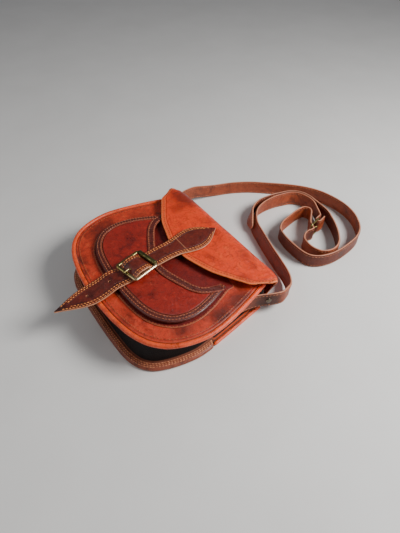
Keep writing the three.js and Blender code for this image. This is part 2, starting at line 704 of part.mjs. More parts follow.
// Shoulder strap: a long band standing on its edge on the surface. Along is a share of the bag's
// half width across X and past a share of the laid-out reach up from the fold corners. Hang is a
// share of the height at which its ends are riveted, ring a share of its height in the buckle, and
// lean is how far, in widths, its upper edge stands to the right of its travel.
const shortRoute = [
  { along: 0.841, past: -0.026, hang: 1.00 },
  { along: 0.868, past: 0.002, hang: 1.00 },
  { along: 0.895, past: 0.035, hang: 1.00 },
  { along: 0.912, past: 0.075, hang: 0.95 },
  { along: 0.880, past: 0.125, hang: 0.75, lean: 0.04 },
  { along: 0.827, past: 0.172, hang: 0.40, lean: 0.10 },
  { along: 0.700, past: 0.216, hang: 0.12, lean: 0.22 },
  { along: 0.510, past: 0.250, lean: 0.30 },
  { along: 0.329, past: 0.277, lean: 0.32 },
  { along: 0.026, past: 0.329, lean: 0.34 },
  { along: -0.135, past: 0.361, lean: 0.34 },
  { along: -0.262, past: 0.413, lean: 0.32 },
  { along: -0.329, past: 0.478, lean: 0.18 },
  { along: -0.357, past: 0.557, lean: 0.05 },
  { along: -0.345, past: 0.652, lean: -0.09 },
  { along: -0.314, past: 0.717, lean: -0.18 },
  { along: -0.275, past: 0.778, lean: -0.22 },
  { along: -0.213, past: 0.813, lean: -0.20 },
  { along: -0.124, past: 0.830, lean: -0.14, ring: 0.15 },
  { along: -0.019, past: 0.830, lean: -0.07, ring: 0.40 },
  { along: 0.116, past: 0.798, ring: 0.70 },
  { along: 0.214, past: 0.766, ring: 0.95 },
];
const longRoute = [
  { along: -0.841, past: -0.026, hang: 1.00 },
  { along: -0.868, past: 0.002, hang: 1.00 },
  { along: -0.895, past: 0.035, hang: 1.00 },
  { along: -0.925, past: 0.075, hang: 1.00 },
  { along: -0.960, past: 0.140, hang: 0.98 },
  { along: -0.990, past: 0.230, hang: 0.72 },
  { along: -0.990, past: 0.315, hang: 0.30 },
  { along: -0.960, past: 0.400, hang: 0.06 },
  { along: -0.895, past: 0.505 },
  { along: -0.765, past: 0.630 },
  { along: -0.605, past: 0.735 },
  { along: -0.450, past: 0.830 },
  { along: -0.300, past: 0.904 },
  { along: -0.125, past: 0.961 },
  { along: 0.070, past: 0.988 },
  { along: 0.245, past: 0.993 },
  { along: 0.403, past: 0.974 },
  { along: 0.535, past: 0.935 },
  { along: 0.640, past: 0.885 },
  { along: 0.710, past: 0.815 },
  { along: 0.746, past: 0.715 },
  { along: 0.756, past: 0.630 },
  { along: 0.742, past: 0.555 },
  { along: 0.700, past: 0.490 },
  { along: 0.635, past: 0.450 },
  { along: 0.535, past: 0.434 },
  { along: 0.390, past: 0.434 },
  { along: 0.245, past: 0.444 },
  { along: 0.125, past: 0.468 },
  { along: 0.058, past: 0.520 },
  { along: 0.018, past: 0.600 },
  { along: -0.008, past: 0.683 },
  { along: 0.002, past: 0.738, ring: 0.3 },
  { along: 0.058, past: 0.757, ring: 0.5 },
  { along: 0.112, past: 0.746, ring: 0.7 },
];
const tailRoute = [
  { along: 0.352, past: 0.566, ring: 0.40 },
  { along: 0.392, past: 0.533 },
  { along: 0.457, past: 0.517 },
  { along: 0.555, past: 0.513 },
  { along: 0.650, past: 0.532 },
  { along: 0.698, past: 0.575 },
  { along: 0.704, past: 0.622 },
  { along: 0.664, past: 0.678 },
  { along: 0.575, past: 0.730 },
  { along: 0.465, past: 0.775 },
  { along: 0.325, past: 0.818 },
  { along: 0.190, past: 0.848 },
];
// The buckle's heel bar, and the strap's way past it: ahead towards its far bar, aside to its left
const heelBar = { along: 0.283, past: 0.713 };
const farBar = { along: 0.330, past: 0.620 };
const throughBuckle = [
  { ahead: -0.20, aside: 0.60 },
  { ahead: 0.10, aside: 0.45 },
  { ahead: 0.45, aside: 0.27 },
  { ahead: 0.68, aside: 0.04 },
  { ahead: 0.84, aside: -0.15 },
  { ahead: 0.98, aside: -0.16 },
  { ahead: 1.17, aside: -0.06 },
];
// Past the buckle the free tail lies outside the short side, and comes clear of it near its point
const tailClear = [
  { station: 19, clear: 0.0 },
  { station: 18, clear: 0.0 },
  { station: 17, clear: 0.0 },
  { station: 16, clear: 0.0 },
  { station: 15, clear: 0.1 },
  { station: 14, clear: 0.4 },
  { station: 13, clear: 0.9 },
  { station: 12, clear: 0.8 },
  { station: 11, clear: 0.4 },
  { station: 10, clear: 0.2 },
];
const tipLength = 1.1;        // tapered end of the tail, in strap widths

const wire = strapBuckleWire / 2;
const ringLift = strapBuckleWire + 2 * seam;
const hangLift = anchorHeight - strapWidth / 2;
function routePoint(row) {
  const lift = hangLift * (row.hang ?? 0) + ringLift * (row.ring ?? 0);
  return { x: row.along * frontHalf, y: foldY + row.past * strapReach, lift, lean: row.lean ?? 0 };
}
const heel = routePoint(heelBar);
const ahead = v2(farBar.along * frontHalf - heel.x, foldY + farBar.past * strapReach - heel.y).normalize();
const buckleMid = (strapBuckleLength - strapBuckleWire) / 2;
function besideBuckle(forward, aside, lift = ringLift) {
  return {
    x: heel.x + ahead.x * forward + ahead.y * aside,
    y: heel.y + ahead.y * forward - ahead.x * aside,
    lift,
    lean: 0,
  };
}

// The riveted ends follow the outside of the gusset's flared wall
const anchorStations = 4;
const slack = 0.5;
function anchorRoute(side) {
  const wall = gussetGrid();
  const out = gussetLeather / 2 + seam + strapLeather / 2;
  const points = [];
  for (let k = anchorStations; k > 0; k--) {
    const p = wall[side > 0 ? stations - k : k][wallRows[1]];
    const x = Math.max(...wallRows.map(r => side * wall[side > 0 ? stations - k : k][r].x)) + out + slack;
    points.push({ x: side * x, y: p.y, lift: hangLift, lean: 0 });
  }
  return points;
}

// Smooth line through a route, with a point wherever it has run or turned far enough
const longestStep = 13;
const sharpestTurn = 0.21;
function routeLine(route) {
  const flat = new THREE.CatmullRomCurve3(route.map(p => v3(p.x, p.y, 0)), false, 'centripetal');
  const extra = new THREE.CatmullRomCurve3(route.map(p => v3(p.lift, p.lean, 0)), false, 'centripetal');
  flat.arcLengthDivisions = route.length * 20;
  const length = flat.getLength();
  const samples = Math.round(length * 2);
  const line = [];
  let turned = 0;
  let heading = flat.getTangent(0);
  for (let i = 0; i <= samples; i++) {
    const at = i / samples * length;
    const t = flat.getUtoTmapping(i / samples);
    const along = flat.getTangent(t);
    turned += along.angleTo(heading);
    heading = along;
    const due = !line.length || turned > sharpestTurn || at - line.at(-1).at > longestStep;
    if (!due && i < samples) continue;
    turned = 0;
    const p = flat.getPoint(t);
    const e = extra.getPoint(t);
    line.push({ at, x: p.x, y: p.y, lift: Math.max(0, e.x), lean: e.y, right: v2(along.y, -along.x) });
  }
  return line;
}

// A band standing on its lower edge along a line, its ends square or tapered to a point
function band(line, tip = 0) {
  const end = line.at(-1).at;
  const face = side => line.map(p => {
    const taper = tip ? Math.min(1, 0.12 + 0.88 * (end - p.at) / tip) : 1;
    const upright = Math.sqrt(1 - p.lean * p.lean);
    const base = p.lift + Math.abs(p.lean) * strapLeather / 2;
    return [0, 1].map(edge => {
      const level = (0.5 + (edge - 0.5) * taper) * strapWidth;
      const shift = p.lean * level + side * upright * strapLeather / 2;
      const z = base + upright * level - side * p.lean * strapLeather / 2;
      return v3(p.x + p.right.x * shift, p.y + p.right.y * shift, z);
    });
  });
  return slab(face(1), face(-1));
}

// The short side runs from the right rivet to the buckle and folds back round its heel bar
const foldRadius = wire + seam + strapLeather / 2 + 0.3;
const foldBack = 12;
const foldTurns = [-1.5, -0.8, 0, 0.8, 1.5];
const shortPoints = [
  ...anchorRoute(1),
  ...shortRoute.map(routePoint),
  besideBuckle(-foldBack, foldRadius),
  ...foldTurns.map(turn => besideBuckle(foldRadius * Math.cos(turn), -foldRadius * Math.sin(turn))),
  besideBuckle(-foldBack, -foldRadius),
];
const shortLine = routeLine(shortPoints);

// The free tail keeps outside the short side, a strap's thickness and a clear space away
const tailEnd = tailClear.map(row => {
  const centre = shortPoints[anchorStations + row.station];
  const before = shortPoints[anchorStations + row.station - 1];
  const after = shortPoints[anchorStations + row.station + 1];
  const along = v2(after.x - before.x, after.y - before.y).normalize();
  const away = strapLeather + strapTail + row.clear * strapLeather * 2;
  return { ...centre, x: centre.x - along.y * away, y: centre.y + along.x * away, lean: -centre.lean };
});
const longPoints = [
  ...anchorRoute(-1),
  ...longRoute.map(routePoint),
  ...throughBuckle.map(p => besideBuckle(p.ahead * strapBuckleLength, p.aside * strapBuckleLength)),
  ...tailRoute.map(routePoint),
  ...tailEnd,
];
const longLine = routeLine(longPoints);

// Stretches of the long side, parted by a hair's breadth so that each can be a body of its own
function nearest(line, x, y) {
  const away = line.map(p => Math.hypot(p.x - x, p.y - y));
  return away.indexOf(Math.min(...away));
}
function stretch(line, from, to) {
  const part = line.slice(from, to + 1).map(p => ({ ...p }));
  const end = (p, q) => {
    const share = seam / 2 / Math.hypot(q.x - p.x, q.y - p.y);
    return { ...p, x: mix(p.x, q.x, share), y: mix(p.y, q.y, share) };
  };
  const [first, last] = [part[0], part.at(-1)];
  if (from > 0) part[0] = end(first, part[1]);
  if (to < line.length - 1) part[part.length - 1] = end(last, part.at(-2));
  return part;
}
const turnRow = longRoute[20];
const turnAt = nearest(longLine, turnRow.along * frontHalf, foldY + turnRow.past * strapReach);
const farBarPlace = besideBuckle(strapBuckleLength, 0);
const threadAt = nearest(longLine, farBarPlace.x, farBarPlace.y);

function strapTailBand() {
  return band(stretch(longLine, threadAt, longLine.length - 1), tipLength * strapWidth);
}

// The shoulder strap's buckle: a frame standing upright, its heel bar held in the folded end
function strapBuckle() {
  const height = strapWidth + 2 * seam + 2 * strapBuckleWire;
  const middle = ringLift + strapWidth / 2;
  const place = (up, forward) => {
    const p = besideBuckle(forward + buckleMid, 0);
    return v3(p.x, p.y, middle + up);
  };
  const outline = loopPoints(buckleMid * 2, height - strapBuckleWire, 2.4, place);
  return rod(outline, wire, { closed: true, up: v3(ahead.y, -ahead.x, 0) });
}
const prongLevel = ringLift + strapWidth / 2;
function strapProng() {
  const reach = wire + seam + prongWire / 2;
  const far = buckleMid * 2;
  const places = [
    [-reach * 0.4, reach * 0.9],
    [-reach, 0],
    [-reach * 0.4, -reach * 0.9],
    [reach * 0.6, -reach * 0.8],
    [far * 0.3, -0.2],
    [far * 0.75, reach * 0.7],
    [far, reach],
    [far + 2.2, reach],
  ];
  const points = places.map(([forward, aside]) => {
    const p = besideBuckle(forward, aside);
    return v3(p.x, p.y, prongLevel);
  });
  return rod(points, prongWire / 2, { sides: 6 });
}

// Slots that let the prong pass through the folded end and through the long side
function prongSlot(forward, length) {
  const box = new THREE.BoxGeometry(length, 4 * (wire + strapLeather), prongWire + 2 * seam);
  const middle = besideBuckle(forward, 0);
  box.rotateZ(Math.atan2(ahead.y, ahead.x));
  return box.translate(middle.x, middle.y, prongLevel);
}
const strapShort = () => cut(band(shortLine), prongSlot(foldRadius * 0.3, foldRadius * 3.4));
const strapLongOuter = () => band(stretch(longLine, 0, turnAt));
const strapLongInner = () => cut(band(stretch(longLine, turnAt, threadAt)), prongSlot(buckleMid * 1.6, buckleMid * 0.95));

// Domed rivets through the strap's ends, just past the gusset
const rivetRow = 1;
function rivet(line, side) {
  const row = routePoint(shortRoute[rivetRow]);
  const centre = line[nearest(line, side * row.x, row.y)];
  const profile = [v2(0, 0), v2(rivetRadius, 0), v2(rivetRadius * 0.93, rivetHeight * 0.45),
    v2(rivetRadius * 0.55, rivetHeight * 0.9), v2(0, rivetHeight)];
  const dome = new THREE.LatheGeometry(profile, 12);
  const out = centre.right.clone().multiplyScalar(side);
  dome.rotateZ(Math.atan2(out.y, out.x) - Math.PI / 2);
  const place = out.multiplyScalar(strapLeather / 2 + seam * 1.5);
  return dome.translate(centre.x + place.x, centre.y + place.y, anchorHeight);
}

const bag = new THREE.Group();
function add(name, geometry, material) {
  const mesh = new THREE.Mesh(geometry, material);
  mesh.name = name;
  bag.add(mesh);
}

add('back_panel', backPanel(), tanLeather());
add('gusset', sheet(gussetGrid(), gussetLeather), darkLeather());
add('front_panel', frontPanel(), tanLeather());
add('front_edge_roll', frontRoll(), edgeLeather());
add('back_edge_roll_left', backRoll(0, bindingStart), edgeLeather());
add('back_edge_roll_right', backRoll(bindingEnd, stations), edgeLeather());
add('bottom_binding', bottomBinding(), brownLeather());
add('flap', flap(), tanLeather());
add('pocket_back', pocketBack(), redLeather());
add('pocket_wall', pocketWall(), darkLeather());
add('pocket_front', pocketFront(), redLeather());
add('pocket_border', pocketBorder(), brownLeather());
add('pocket_mouth_trim', mouthTrim(), brownLeather());
add('closing_strap', closingStrap(), brownLeather());
add('closing_buckle_frame', buckleFrame(), brass());
add('closing_buckle_roller', buckleRoller(), brass());
add('closing_buckle_prong', bucklePin(), brass());
add('closing_buckle_chape', buckleChape(), brownLeather());
add('shoulder_strap_short', strapShort(), strapFinish());
add('shoulder_strap_long', strapLongOuter(), strapFinish());
add('shoulder_strap_loop', strapLongInner(), strapFinish());
add('shoulder_strap_tail', strapTailBand(), strapFinish());
add('strap_buckle_frame', strapBuckle(), brass());
add('strap_buckle_prong', strapProng(), brass());
add('strap_rivet_right', rivet(shortLine, 1), steel());
add('strap_rivet_left', rivet(longLine, -1), steel());

export default bag;
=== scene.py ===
# %% [markdown]
# # A leather saddle bag, lying on its back
#
# The bag is a half-round shoulder bag: a flat back, a low gusset, a domed front with a pocket, a flap that
# rolls over the mouth, a closing strap in a roller buckle, and a long strap looped on the table above it.
# The packed model gives each piece its place. This lesson dresses every piece in real leather and brass.

# %% Load the frame
import math

import bmesh
import bpy
import numpy as np
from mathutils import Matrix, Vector, noise


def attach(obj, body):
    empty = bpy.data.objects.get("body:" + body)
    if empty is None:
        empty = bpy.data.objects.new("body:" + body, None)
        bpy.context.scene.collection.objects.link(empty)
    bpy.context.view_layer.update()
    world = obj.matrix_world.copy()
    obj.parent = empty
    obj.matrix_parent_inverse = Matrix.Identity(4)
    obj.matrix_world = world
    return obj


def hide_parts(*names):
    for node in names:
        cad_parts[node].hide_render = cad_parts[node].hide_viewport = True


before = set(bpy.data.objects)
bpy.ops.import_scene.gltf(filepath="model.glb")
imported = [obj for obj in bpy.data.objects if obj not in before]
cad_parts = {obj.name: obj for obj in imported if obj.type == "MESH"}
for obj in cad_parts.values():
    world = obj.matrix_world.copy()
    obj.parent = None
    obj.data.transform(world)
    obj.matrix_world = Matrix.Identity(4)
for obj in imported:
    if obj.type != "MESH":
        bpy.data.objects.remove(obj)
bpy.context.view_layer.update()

# %% [markdown]
# ## The camera
#
# The photograph looks down at the bag from its lower right. The place and the lens were solved from the
# bag's own outlines, so the picture can be laid over the photograph, edge on edge.

# %% Camera
AZIMUTH = math.radians(55.0)
ELEVATION = math.radians(45.99)
CAMERA_PLACE = Vector((0.3538, -0.1885, 0.4527))
FOCAL_PIXELS = 445.55
PHOTO_HEIGHT = 533


def placed(name, data):
    """A new object in the scene."""
    made = bpy.data.objects.new(name, data)
    bpy.context.scene.collection.objects.link(made)
    return made


camera_data = bpy.data.cameras.new("camera")
camera_data.sensor_width = 36.0
camera_data.lens = FOCAL_PIXELS / PHOTO_HEIGHT * camera_data.sensor_width
camera_data.clip_start = 0.01
camera = placed("camera", camera_data)
look_back = Vector((math.sin(AZIMUTH) * math.cos(ELEVATION),
                    -math.cos(AZIMUTH) * math.cos(ELEVATION), math.sin(ELEVATION)))
camera.location = CAMERA_PLACE
camera.rotation_mode = "QUATERNION"
camera.rotation_quaternion = (-look_back).to_track_quat("-Z", "Y")
bpy.context.scene.camera = camera
print("lens", round(camera_data.lens, 2), "mm")

# %% [markdown]
# ## The bag's own measures
#
# Leather is cut and sewn in millimetres, so the shapes below are worked out in millimetres too and turned
# into metres only when a mesh is made. These are the sizes of the packed model.

# %% Measures
MM = 0.001
PANEL = 2.2              # thickness of the leather of the front, the back and the flap
GUSSET = 1.6             # of the wall round the sides
LINING = 1.0             # of the pocket's back and its wall
POCKET = 1.5             # of the pocket's front
TRIM = 1.2               # of the border, the binding and the strip along the pocket's mouth
CLOSURE = 2.2            # of the closing strap
STRAP = 2.8              # of the shoulder strap
SEAM = 0.3               # clearance between pieces that touch
FOLD_Y = 85.0            # where the corners of the fold lie
BAG_HEIGHT = 185.0       # from those corners down to the bottom
FRONT_HALF = 129.0       # half the front's greatest width
BACK_HALF = 118.5
BAG_DEPTH = 50.5         # from the table up to the front's edge
FRONT_BULGE = 2.0        # how much higher the front's middle is
ROLL_RADIUS = 3.1
BACK_ROLL_RADIUS = 2.4

# %% [markdown]
# ## Smooth curves
#
# A pattern cutter marks a few points and joins them with a bent batten. A Bezier curve could do that too,
# but each of its handles would have to be set. The helper here bends a curve through given points
# alone, and gives back points at any shares of its length.


# %% Curve helpers
def lengths(line):
    """How far each point lies along its line."""
    steps = np.linalg.norm(np.diff(line, axis=0), axis=1)
    return np.concatenate([[0.0], np.cumsum(steps)])


def resampled(line, shares, by=None):
    """Points at shares of the length of a line, measured on its first columns."""
    run = lengths(line if by is None else line[:, :by])
    return np.stack([np.interp(np.asarray(shares) * run[-1], run, column) for column in line.T], axis=1)


def spline(points, shares, by=None, detail=24):
    """Points at shares of the length of a smooth curve through the given points."""
    points = np.asarray(points, float)
    placed = points if by is None else points[:, :by]
    gaps = np.maximum(np.linalg.norm(np.diff(placed, axis=0), axis=1), 1e-6) ** 0.5
    ends = np.vstack([2 * points[0] - points[1], points, 2 * points[-1] - points[-2]])
    knots = np.cumsum(np.concatenate([[0.0], gaps[:1], gaps, gaps[-1:]]))[:, None]
    before = (ends[1:-1] - ends[:-2]) / (knots[1:-1] - knots[:-2])
    after = (ends[2:] - ends[1:-1]) / (knots[2:] - knots[1:-1])
    slope = before + after - (ends[2:] - ends[:-2]) / (knots[2:] - knots[:-2])
    part = np.linspace(0, 1, detail, endpoint=False)[None, :, None]
    start, stop = points[:-1, None, :], points[1:, None, :]
    lean_in, lean_out = slope[:-1, None, :] * gaps[:, None, None], slope[1:, None, :] * gaps[:, None, None]
    curve = ((2 * part**3 - 3 * part**2 + 1) * start + (part**3 - 2 * part**2 + part) * lean_in
             + (3 * part**2 - 2 * part**3) * stop + (part**3 - part**2) * lean_out)
    curve = np.vstack([curve.reshape(-1, points.shape[1]), points[-1:]])
    return resampled(curve, shares, by)


def smoothstep(x, low, high):
    """A soft step from 0 at the low value to 1 at the high one."""
    s = np.clip((x - low) / (high - low), 0, 1)
    return s * s * (3 - 2 * s)


def mix(a, b, share):
    """The value at a share of the way from a to b."""
    return a + (b - a) * share


def left_of(line):
    """The direction to the left of travel at each point of a flat line."""
    along = np.gradient(line, axis=0)
    along /= np.linalg.norm(along, axis=1, keepdims=True)
    return np.stack([-along[:, 1], along[:, 0]], axis=1)


def inset(line, distance):
    """The line moved to the left of its travel, which is inwards on an outline run from the left corner."""
    return line + left_of(line) * distance


print("a quarter of the way:", spline([(0, 0), (10, 5), (20, 0)], [0.25])[0].round(2))

# %% [markdown]
# ## Uneven hand work
#
# Nothing on a hand-made bag is quite flat or quite even. A Displace modifier could add that to each piece,
# but a stitch has to follow the leather that it sits on. So one helper gives a soft, repeatable waviness,
# which is added to the points that both the leather and its stitches are built from.


# %% Waviness
def waver(points, size, seed=0.0):
    """Soft noise between -1 and 1 at each point, whose bumps are about that many millimetres wide."""
    flat = np.asarray(points, float).reshape(-1, np.shape(points)[-1])
    padded = np.zeros((len(flat), 3))
    padded[:, :flat.shape[1]] = flat
    values = [noise.noise(Vector(p / size) + Vector((seed, seed * 1.7, 0))) for p in padded]
    return np.array(values).reshape(np.shape(points)[:-1])


print("waviness sample", waver(np.array([[1.0, 2.0]]), 5).round(3))

# %% [markdown]
# ## Sheets of leather
#
# A hide has a thickness, and its cut edge is slicked round with a burnisher. Solidify and Bevel modifiers
# could make both, but they don't know where on the sheet a point lies. Each sheet here is a grid of points
# on its middle surface. Two faces are pushed out from it by half a thickness, which dwindles to nothing
# over the last millimetre before an edge, so every edge comes out round. Each point also remembers how far
# it lies from the nearest edge and on which face, which later drives the stains and the rubbing.

# %% Grid helpers
ROUNDING = np.array([0, 0.05, 0.2, 0.45, 0.75, 1.0])     # where the rows of a rounded edge lie


def spaced(length, step, edge):
    """Shares of a length, a step apart, and closer at both ends where an edge is rounded."""
    close = edge * ROUNDING
    count = max(2, round((length - 2 * edge) / step) + 1)
    middle = np.linspace(edge, length - edge, count)[1:-1]
    return np.concatenate([close, middle, length - close[::-1]]) / length


def refined(grid, step_along, step_across, edge):
    """A coarse grid of rows made fine both ways, with close rows where its edges are rounded."""
    grid = np.asarray(grid, float)
    across = spaced(max(lengths(row)[-1] for row in grid), step_across, edge)
    rows = np.stack([spline(row, across) for row in grid])
    along = spaced(max(lengths(rows[:, j])[-1] for j in (0, len(across) // 2, -1)), step_along, edge)
    return np.stack([spline(rows[:, j], along) for j in range(len(across))], axis=1)


def grid_normals(grid, closed, side):
    """Which way each point of a grid faces, on one side of it or, with a side of -1, on the other."""
    if closed:
        along = np.roll(grid, -1, axis=0) - np.roll(grid, 1, axis=0)
    else:
        along = np.gradient(grid, axis=0)
    across = np.gradient(grid, axis=1)
    normal = np.cross(along, across) * side
    size = np.linalg.norm(normal, axis=2, keepdims=True)
    return np.where(size > 1e-9, normal / np.maximum(size, 1e-9), [0.0, 0.0, 1.0])


def filled(sections, span, step, thickness):
    """A grid from sections of a few points each, made fine across the sheet."""
    shares = spaced(span, step, thickness / 2)
    return np.stack([spline(section, shares) for section in sections])


print("rounded edge shares:", spaced(10, 2, 1).round(2))

# %% [markdown]
# A mesh could be built face by face, but one call that takes lists of points and faces is quicker and
# plainer. Numbers that belong to the points, such as a distance, go along as attributes.


# %% Mesh helpers
def mesh_object(name, verts, faces, attributes=None):
    """A smooth mesh from points in millimetres, with one number per point for each attribute."""
    mesh = bpy.data.meshes.new(name)
    mesh.from_pydata((np.asarray(verts) * MM).tolist(), [], faces)
    for key, values in (attributes or {}).items():
        layer = mesh.attributes.new(key, "FLOAT", "POINT")
        layer.data.foreach_set("value", np.asarray(values, np.float32).ravel())
    mesh.polygons.foreach_set("use_smooth", np.ones(len(mesh.polygons), bool))
    mesh.validate()
    return placed(name, mesh)


def weld(piece, distance=1e-6):
    """Points of a piece that lie in one place made into one point."""
    work = bmesh.new()
    work.from_mesh(piece.data)
    bmesh.ops.remove_doubles(work, verts=work.verts, dist=distance)
    work.to_mesh(piece.data)
    work.free()


print("a millimetre is", MM, "m")

# %% [markdown]
# Now the sheet itself. The points of its two faces are shared where they meet, along every open edge, so a
# sheet is always a closed skin, as cut leather is.


# %% Leather sheet
def leather_sheet(name, grid, thickness, side=1, closed=False, pointed=False):
    """A skin on both sides of a grid of middle points.

    A closed grid runs round, as a ring does, and a pointed one ends in a single point.
    """
    rows, columns = grid.shape[:2]
    normal = grid_normals(grid, closed, side)
    run = np.zeros((rows, columns))
    run[1:] = np.cumsum(np.linalg.norm(np.diff(grid, axis=0), axis=2), axis=0)
    reach = np.zeros((rows, columns))
    reach[:, 1:] = np.cumsum(np.linalg.norm(np.diff(grid, axis=1), axis=2), axis=1)
    sides = [reach]
    if not pointed:
        sides.append(reach[:, -1:] - reach)
    if not closed:
        sides += [run, run[-1:] - run]
    rim = np.minimum.reduce(sides)
    radius = thickness / 2
    half = radius * np.sqrt(1 - (1 - np.clip(rim / radius, 0, 1)) ** 2)[..., None]
    outer = (grid + normal * half).reshape(-1, 3)
    inner = (grid - normal * half).reshape(-1, 3)
    top = np.arange(rows * columns).reshape(rows, columns)
    edge = np.zeros((rows, columns), bool)
    edge[:, 0] = True
    edge[:, -1] |= not pointed
    if not closed:
        edge[[0, -1]] = True
    below = np.where(edge, top, -1)
    below[~edge] = rows * columns + np.arange((~edge).sum())
    verts = np.vstack([outer, inner[~edge.ravel()]])
    ahead = np.roll(top, -1, axis=0) if closed else top[1:]
    ahead_below = np.roll(below, -1, axis=0) if closed else below[1:]
    upper = top if closed else top[:-1]
    lower = below if closed else below[:-1]
    quads = np.stack([upper[:, :-1], ahead[:, :-1], ahead[:, 1:], upper[:, 1:]], axis=-1)
    under = np.stack([lower[:, :-1], lower[:, 1:], ahead_below[:, 1:], ahead_below[:, :-1]], axis=-1)
    faces = np.vstack([quads.reshape(-1, 4), under.reshape(-1, 4)])
    if side < 0:
        faces = faces[:, ::-1]

    def both(values):
        return np.concatenate([values.ravel(), values[~edge]])

    # The outer face is 1, the inner one 0, and the edge between them a half.
    upside = np.concatenate([np.where(edge, 0.5, 1.0).ravel(), np.zeros((~edge).sum())])
    remembered = {"rim": both(rim), "reach": both(reach), "face": upside}
    made = mesh_object(name, verts, faces.tolist(), remembered)
    if pointed:
        weld(made)
    return made


print("sheets are at least", 2 * len(ROUNDING), "rows wide")

# %% [markdown]
# ## Tubes, for piping and metal
#
# Rolled edges, buckle wires and prongs are all one round or oval section carried along a line. A curve
# with a bevel could make them. A list of rings was chosen, because its radius can waver along the way, as
# rolled leather does, and its ends can close in a dome.

# %% Tube helper
NO_EDGE = 9.0            # a distance from the edge for pieces that have none


def tube(name, path, radius, sides=16, closed=False, up=(0, 0, 1), flat=1.0):
    """A section carried along a path. The radius may change along it, and open ends are domed."""
    path = np.asarray(path, float)
    count = len(path)
    radius = np.broadcast_to(np.asarray(radius, float), (count,)).copy()
    along = np.roll(path, -1, axis=0) - np.roll(path, 1, axis=0) if closed else np.gradient(path, axis=0)
    along /= np.linalg.norm(along, axis=1, keepdims=True)
    aside = np.cross(along, np.asarray(up, float))
    aside /= np.linalg.norm(aside, axis=1, keepdims=True)
    lift = np.cross(aside, along)
    if not closed:
        run = lengths(path)
        near = np.minimum(run, run[-1] - run)
        radius = radius * np.sqrt(1 - (1 - np.clip(near / radius, 0, 1)) ** 2)
        radius = np.maximum(radius, 1e-3)
    turn = (np.arange(sides) + 0.5) / sides * 2 * math.pi
    ring = (path[:, None] + aside[:, None] * (radius[:, None] * np.cos(turn))[..., None]
            + lift[:, None] * (radius[:, None] * flat * np.sin(turn))[..., None])
    index = np.arange(count * sides).reshape(count, sides)
    ahead = np.roll(index, -1, axis=0) if closed else index[1:]
    here = index if closed else index[:-1]
    faces = np.stack([here, np.roll(here, -1, axis=1), np.roll(ahead, -1, axis=1), ahead], axis=-1)
    faces = faces.reshape(-1, 4)[:, ::-1].tolist()
    if not closed:
        faces += [list(index[0]), list(index[-1][::-1])]
    return mesh_object(name, ring.reshape(-1, 3), faces, {"rim": np.full(count * sides, NO_EDGE)})


def joined(name, pieces):
    """Several meshes as one piece."""
    work = bmesh.new()
    for piece in pieces:
        work.from_mesh(piece.data)
    mesh = pieces[0].data
    work.to_mesh(mesh)
    work.free()
    for piece in pieces[1:]:
        bpy.data.objects.remove(piece)
    pieces[0].name = name
    mesh.name = name
    return pieces[0]


print("tubes close in domes, unless they run round")

# %% [markdown]
# ## Outlines
#
# Each panel is half a paper pattern, folded on its middle line. A row says how far down from the fold
# corners a point lies, and how far out, both as shares of the panel's height and half width. The mirrored
# halves make one U, which runs from the left corner round the bottom to the right corner.

# %% Outlines
FRONT_OUTLINE = [(0.00, 0.815), (0.15, 0.885), (0.30, 0.945), (0.46, 0.992), (0.57, 1.000), (0.70, 0.962),
                 (0.80, 0.895), (0.885, 0.775), (0.94, 0.620), (0.975, 0.420), (0.993, 0.210), (1.0, 0.0)]
BACK_OUTLINE = [(0.00, 0.861), (0.18, 0.911), (0.39, 0.965), (0.57, 1.000), (0.70, 0.975), (0.81, 0.925),
                (0.885, 0.865), (0.945, 0.760), (0.982, 0.600), (0.996, 0.350), (1.0, 0.0)]
POCKET_OUTLINE = [(0.00, 0.830), (0.12, 0.885), (0.27, 0.950), (0.42, 0.992), (0.53, 1.000), (0.64, 0.980),
                  (0.75, 0.925), (0.84, 0.830), (0.91, 0.705), (0.96, 0.530), (0.99, 0.290), (1.0, 0.0)]
STATIONS = 220
COARSE = 44              # stations of the packed model's own U


def round_u(table, half, top, height, middle=0.0):
    """A half outline and its mirror image as one line, from the left corner to the right one."""
    right = [(out * half, top - down * height) for down, out in table]
    left = [(-x, y) for x, y in right[:-1]]
    line = spline(left + right[::-1], np.linspace(0, 1, STATIONS + 1))
    return line + [middle, 0.0]


def part_of(line, start, end, count):
    """A stretch of a line, between two shares of its length."""
    return resampled(line, np.linspace(start, end, count))


FRONT_HEIGHT = BAG_HEIGHT - 1
POCKET_HALF = 96.75
POCKET_HEIGHT = 108.0
POCKET_Y = FOLD_Y - 47.0  # where the corners of the pocket lie
POCKET_SHIFT = 4.5       # how far it sits to the right of the bag's middle
FOOT = 5.5               # breadth of the gusset's stitched foot
BACK_EDGE = BACK_ROLL_RADIUS * 2 + SEAM  # breadth that the rolled edges take up
FRONT_EDGE = ROLL_RADIUS * 2 + SEAM
front_u = round_u(FRONT_OUTLINE, FRONT_HALF, FOLD_Y, FRONT_HEIGHT)
back_u = round_u(BACK_OUTLINE, BACK_HALF, FOLD_Y, BAG_HEIGHT)
pocket_u = round_u(POCKET_OUTLINE, POCKET_HALF, POCKET_Y, POCKET_HEIGHT, POCKET_SHIFT)
print("outline lengths", [round(lengths(line)[-1]) for line in (front_u, back_u, pocket_u)])

# %% [markdown]
# ## Levels
#
# The front panel domes a little, and the pocket stands off it. Each could be modelled flat and bent by a
# modifier, but then no other piece would know the shape below it. Both are worked out from one rule of x
# and y, so that the pocket, its border and the closing strap all follow the swell that they lie on.


# %% Levels
def front_face(x, y):
    """The level of the front's upper face."""
    dome = 1 - (x / FRONT_HALF) ** 2 - ((y - (FOLD_Y - BAG_HEIGHT / 2)) / (BAG_HEIGHT / 2)) ** 2
    return BAG_DEPTH + FRONT_BULGE * np.maximum(0, dome)


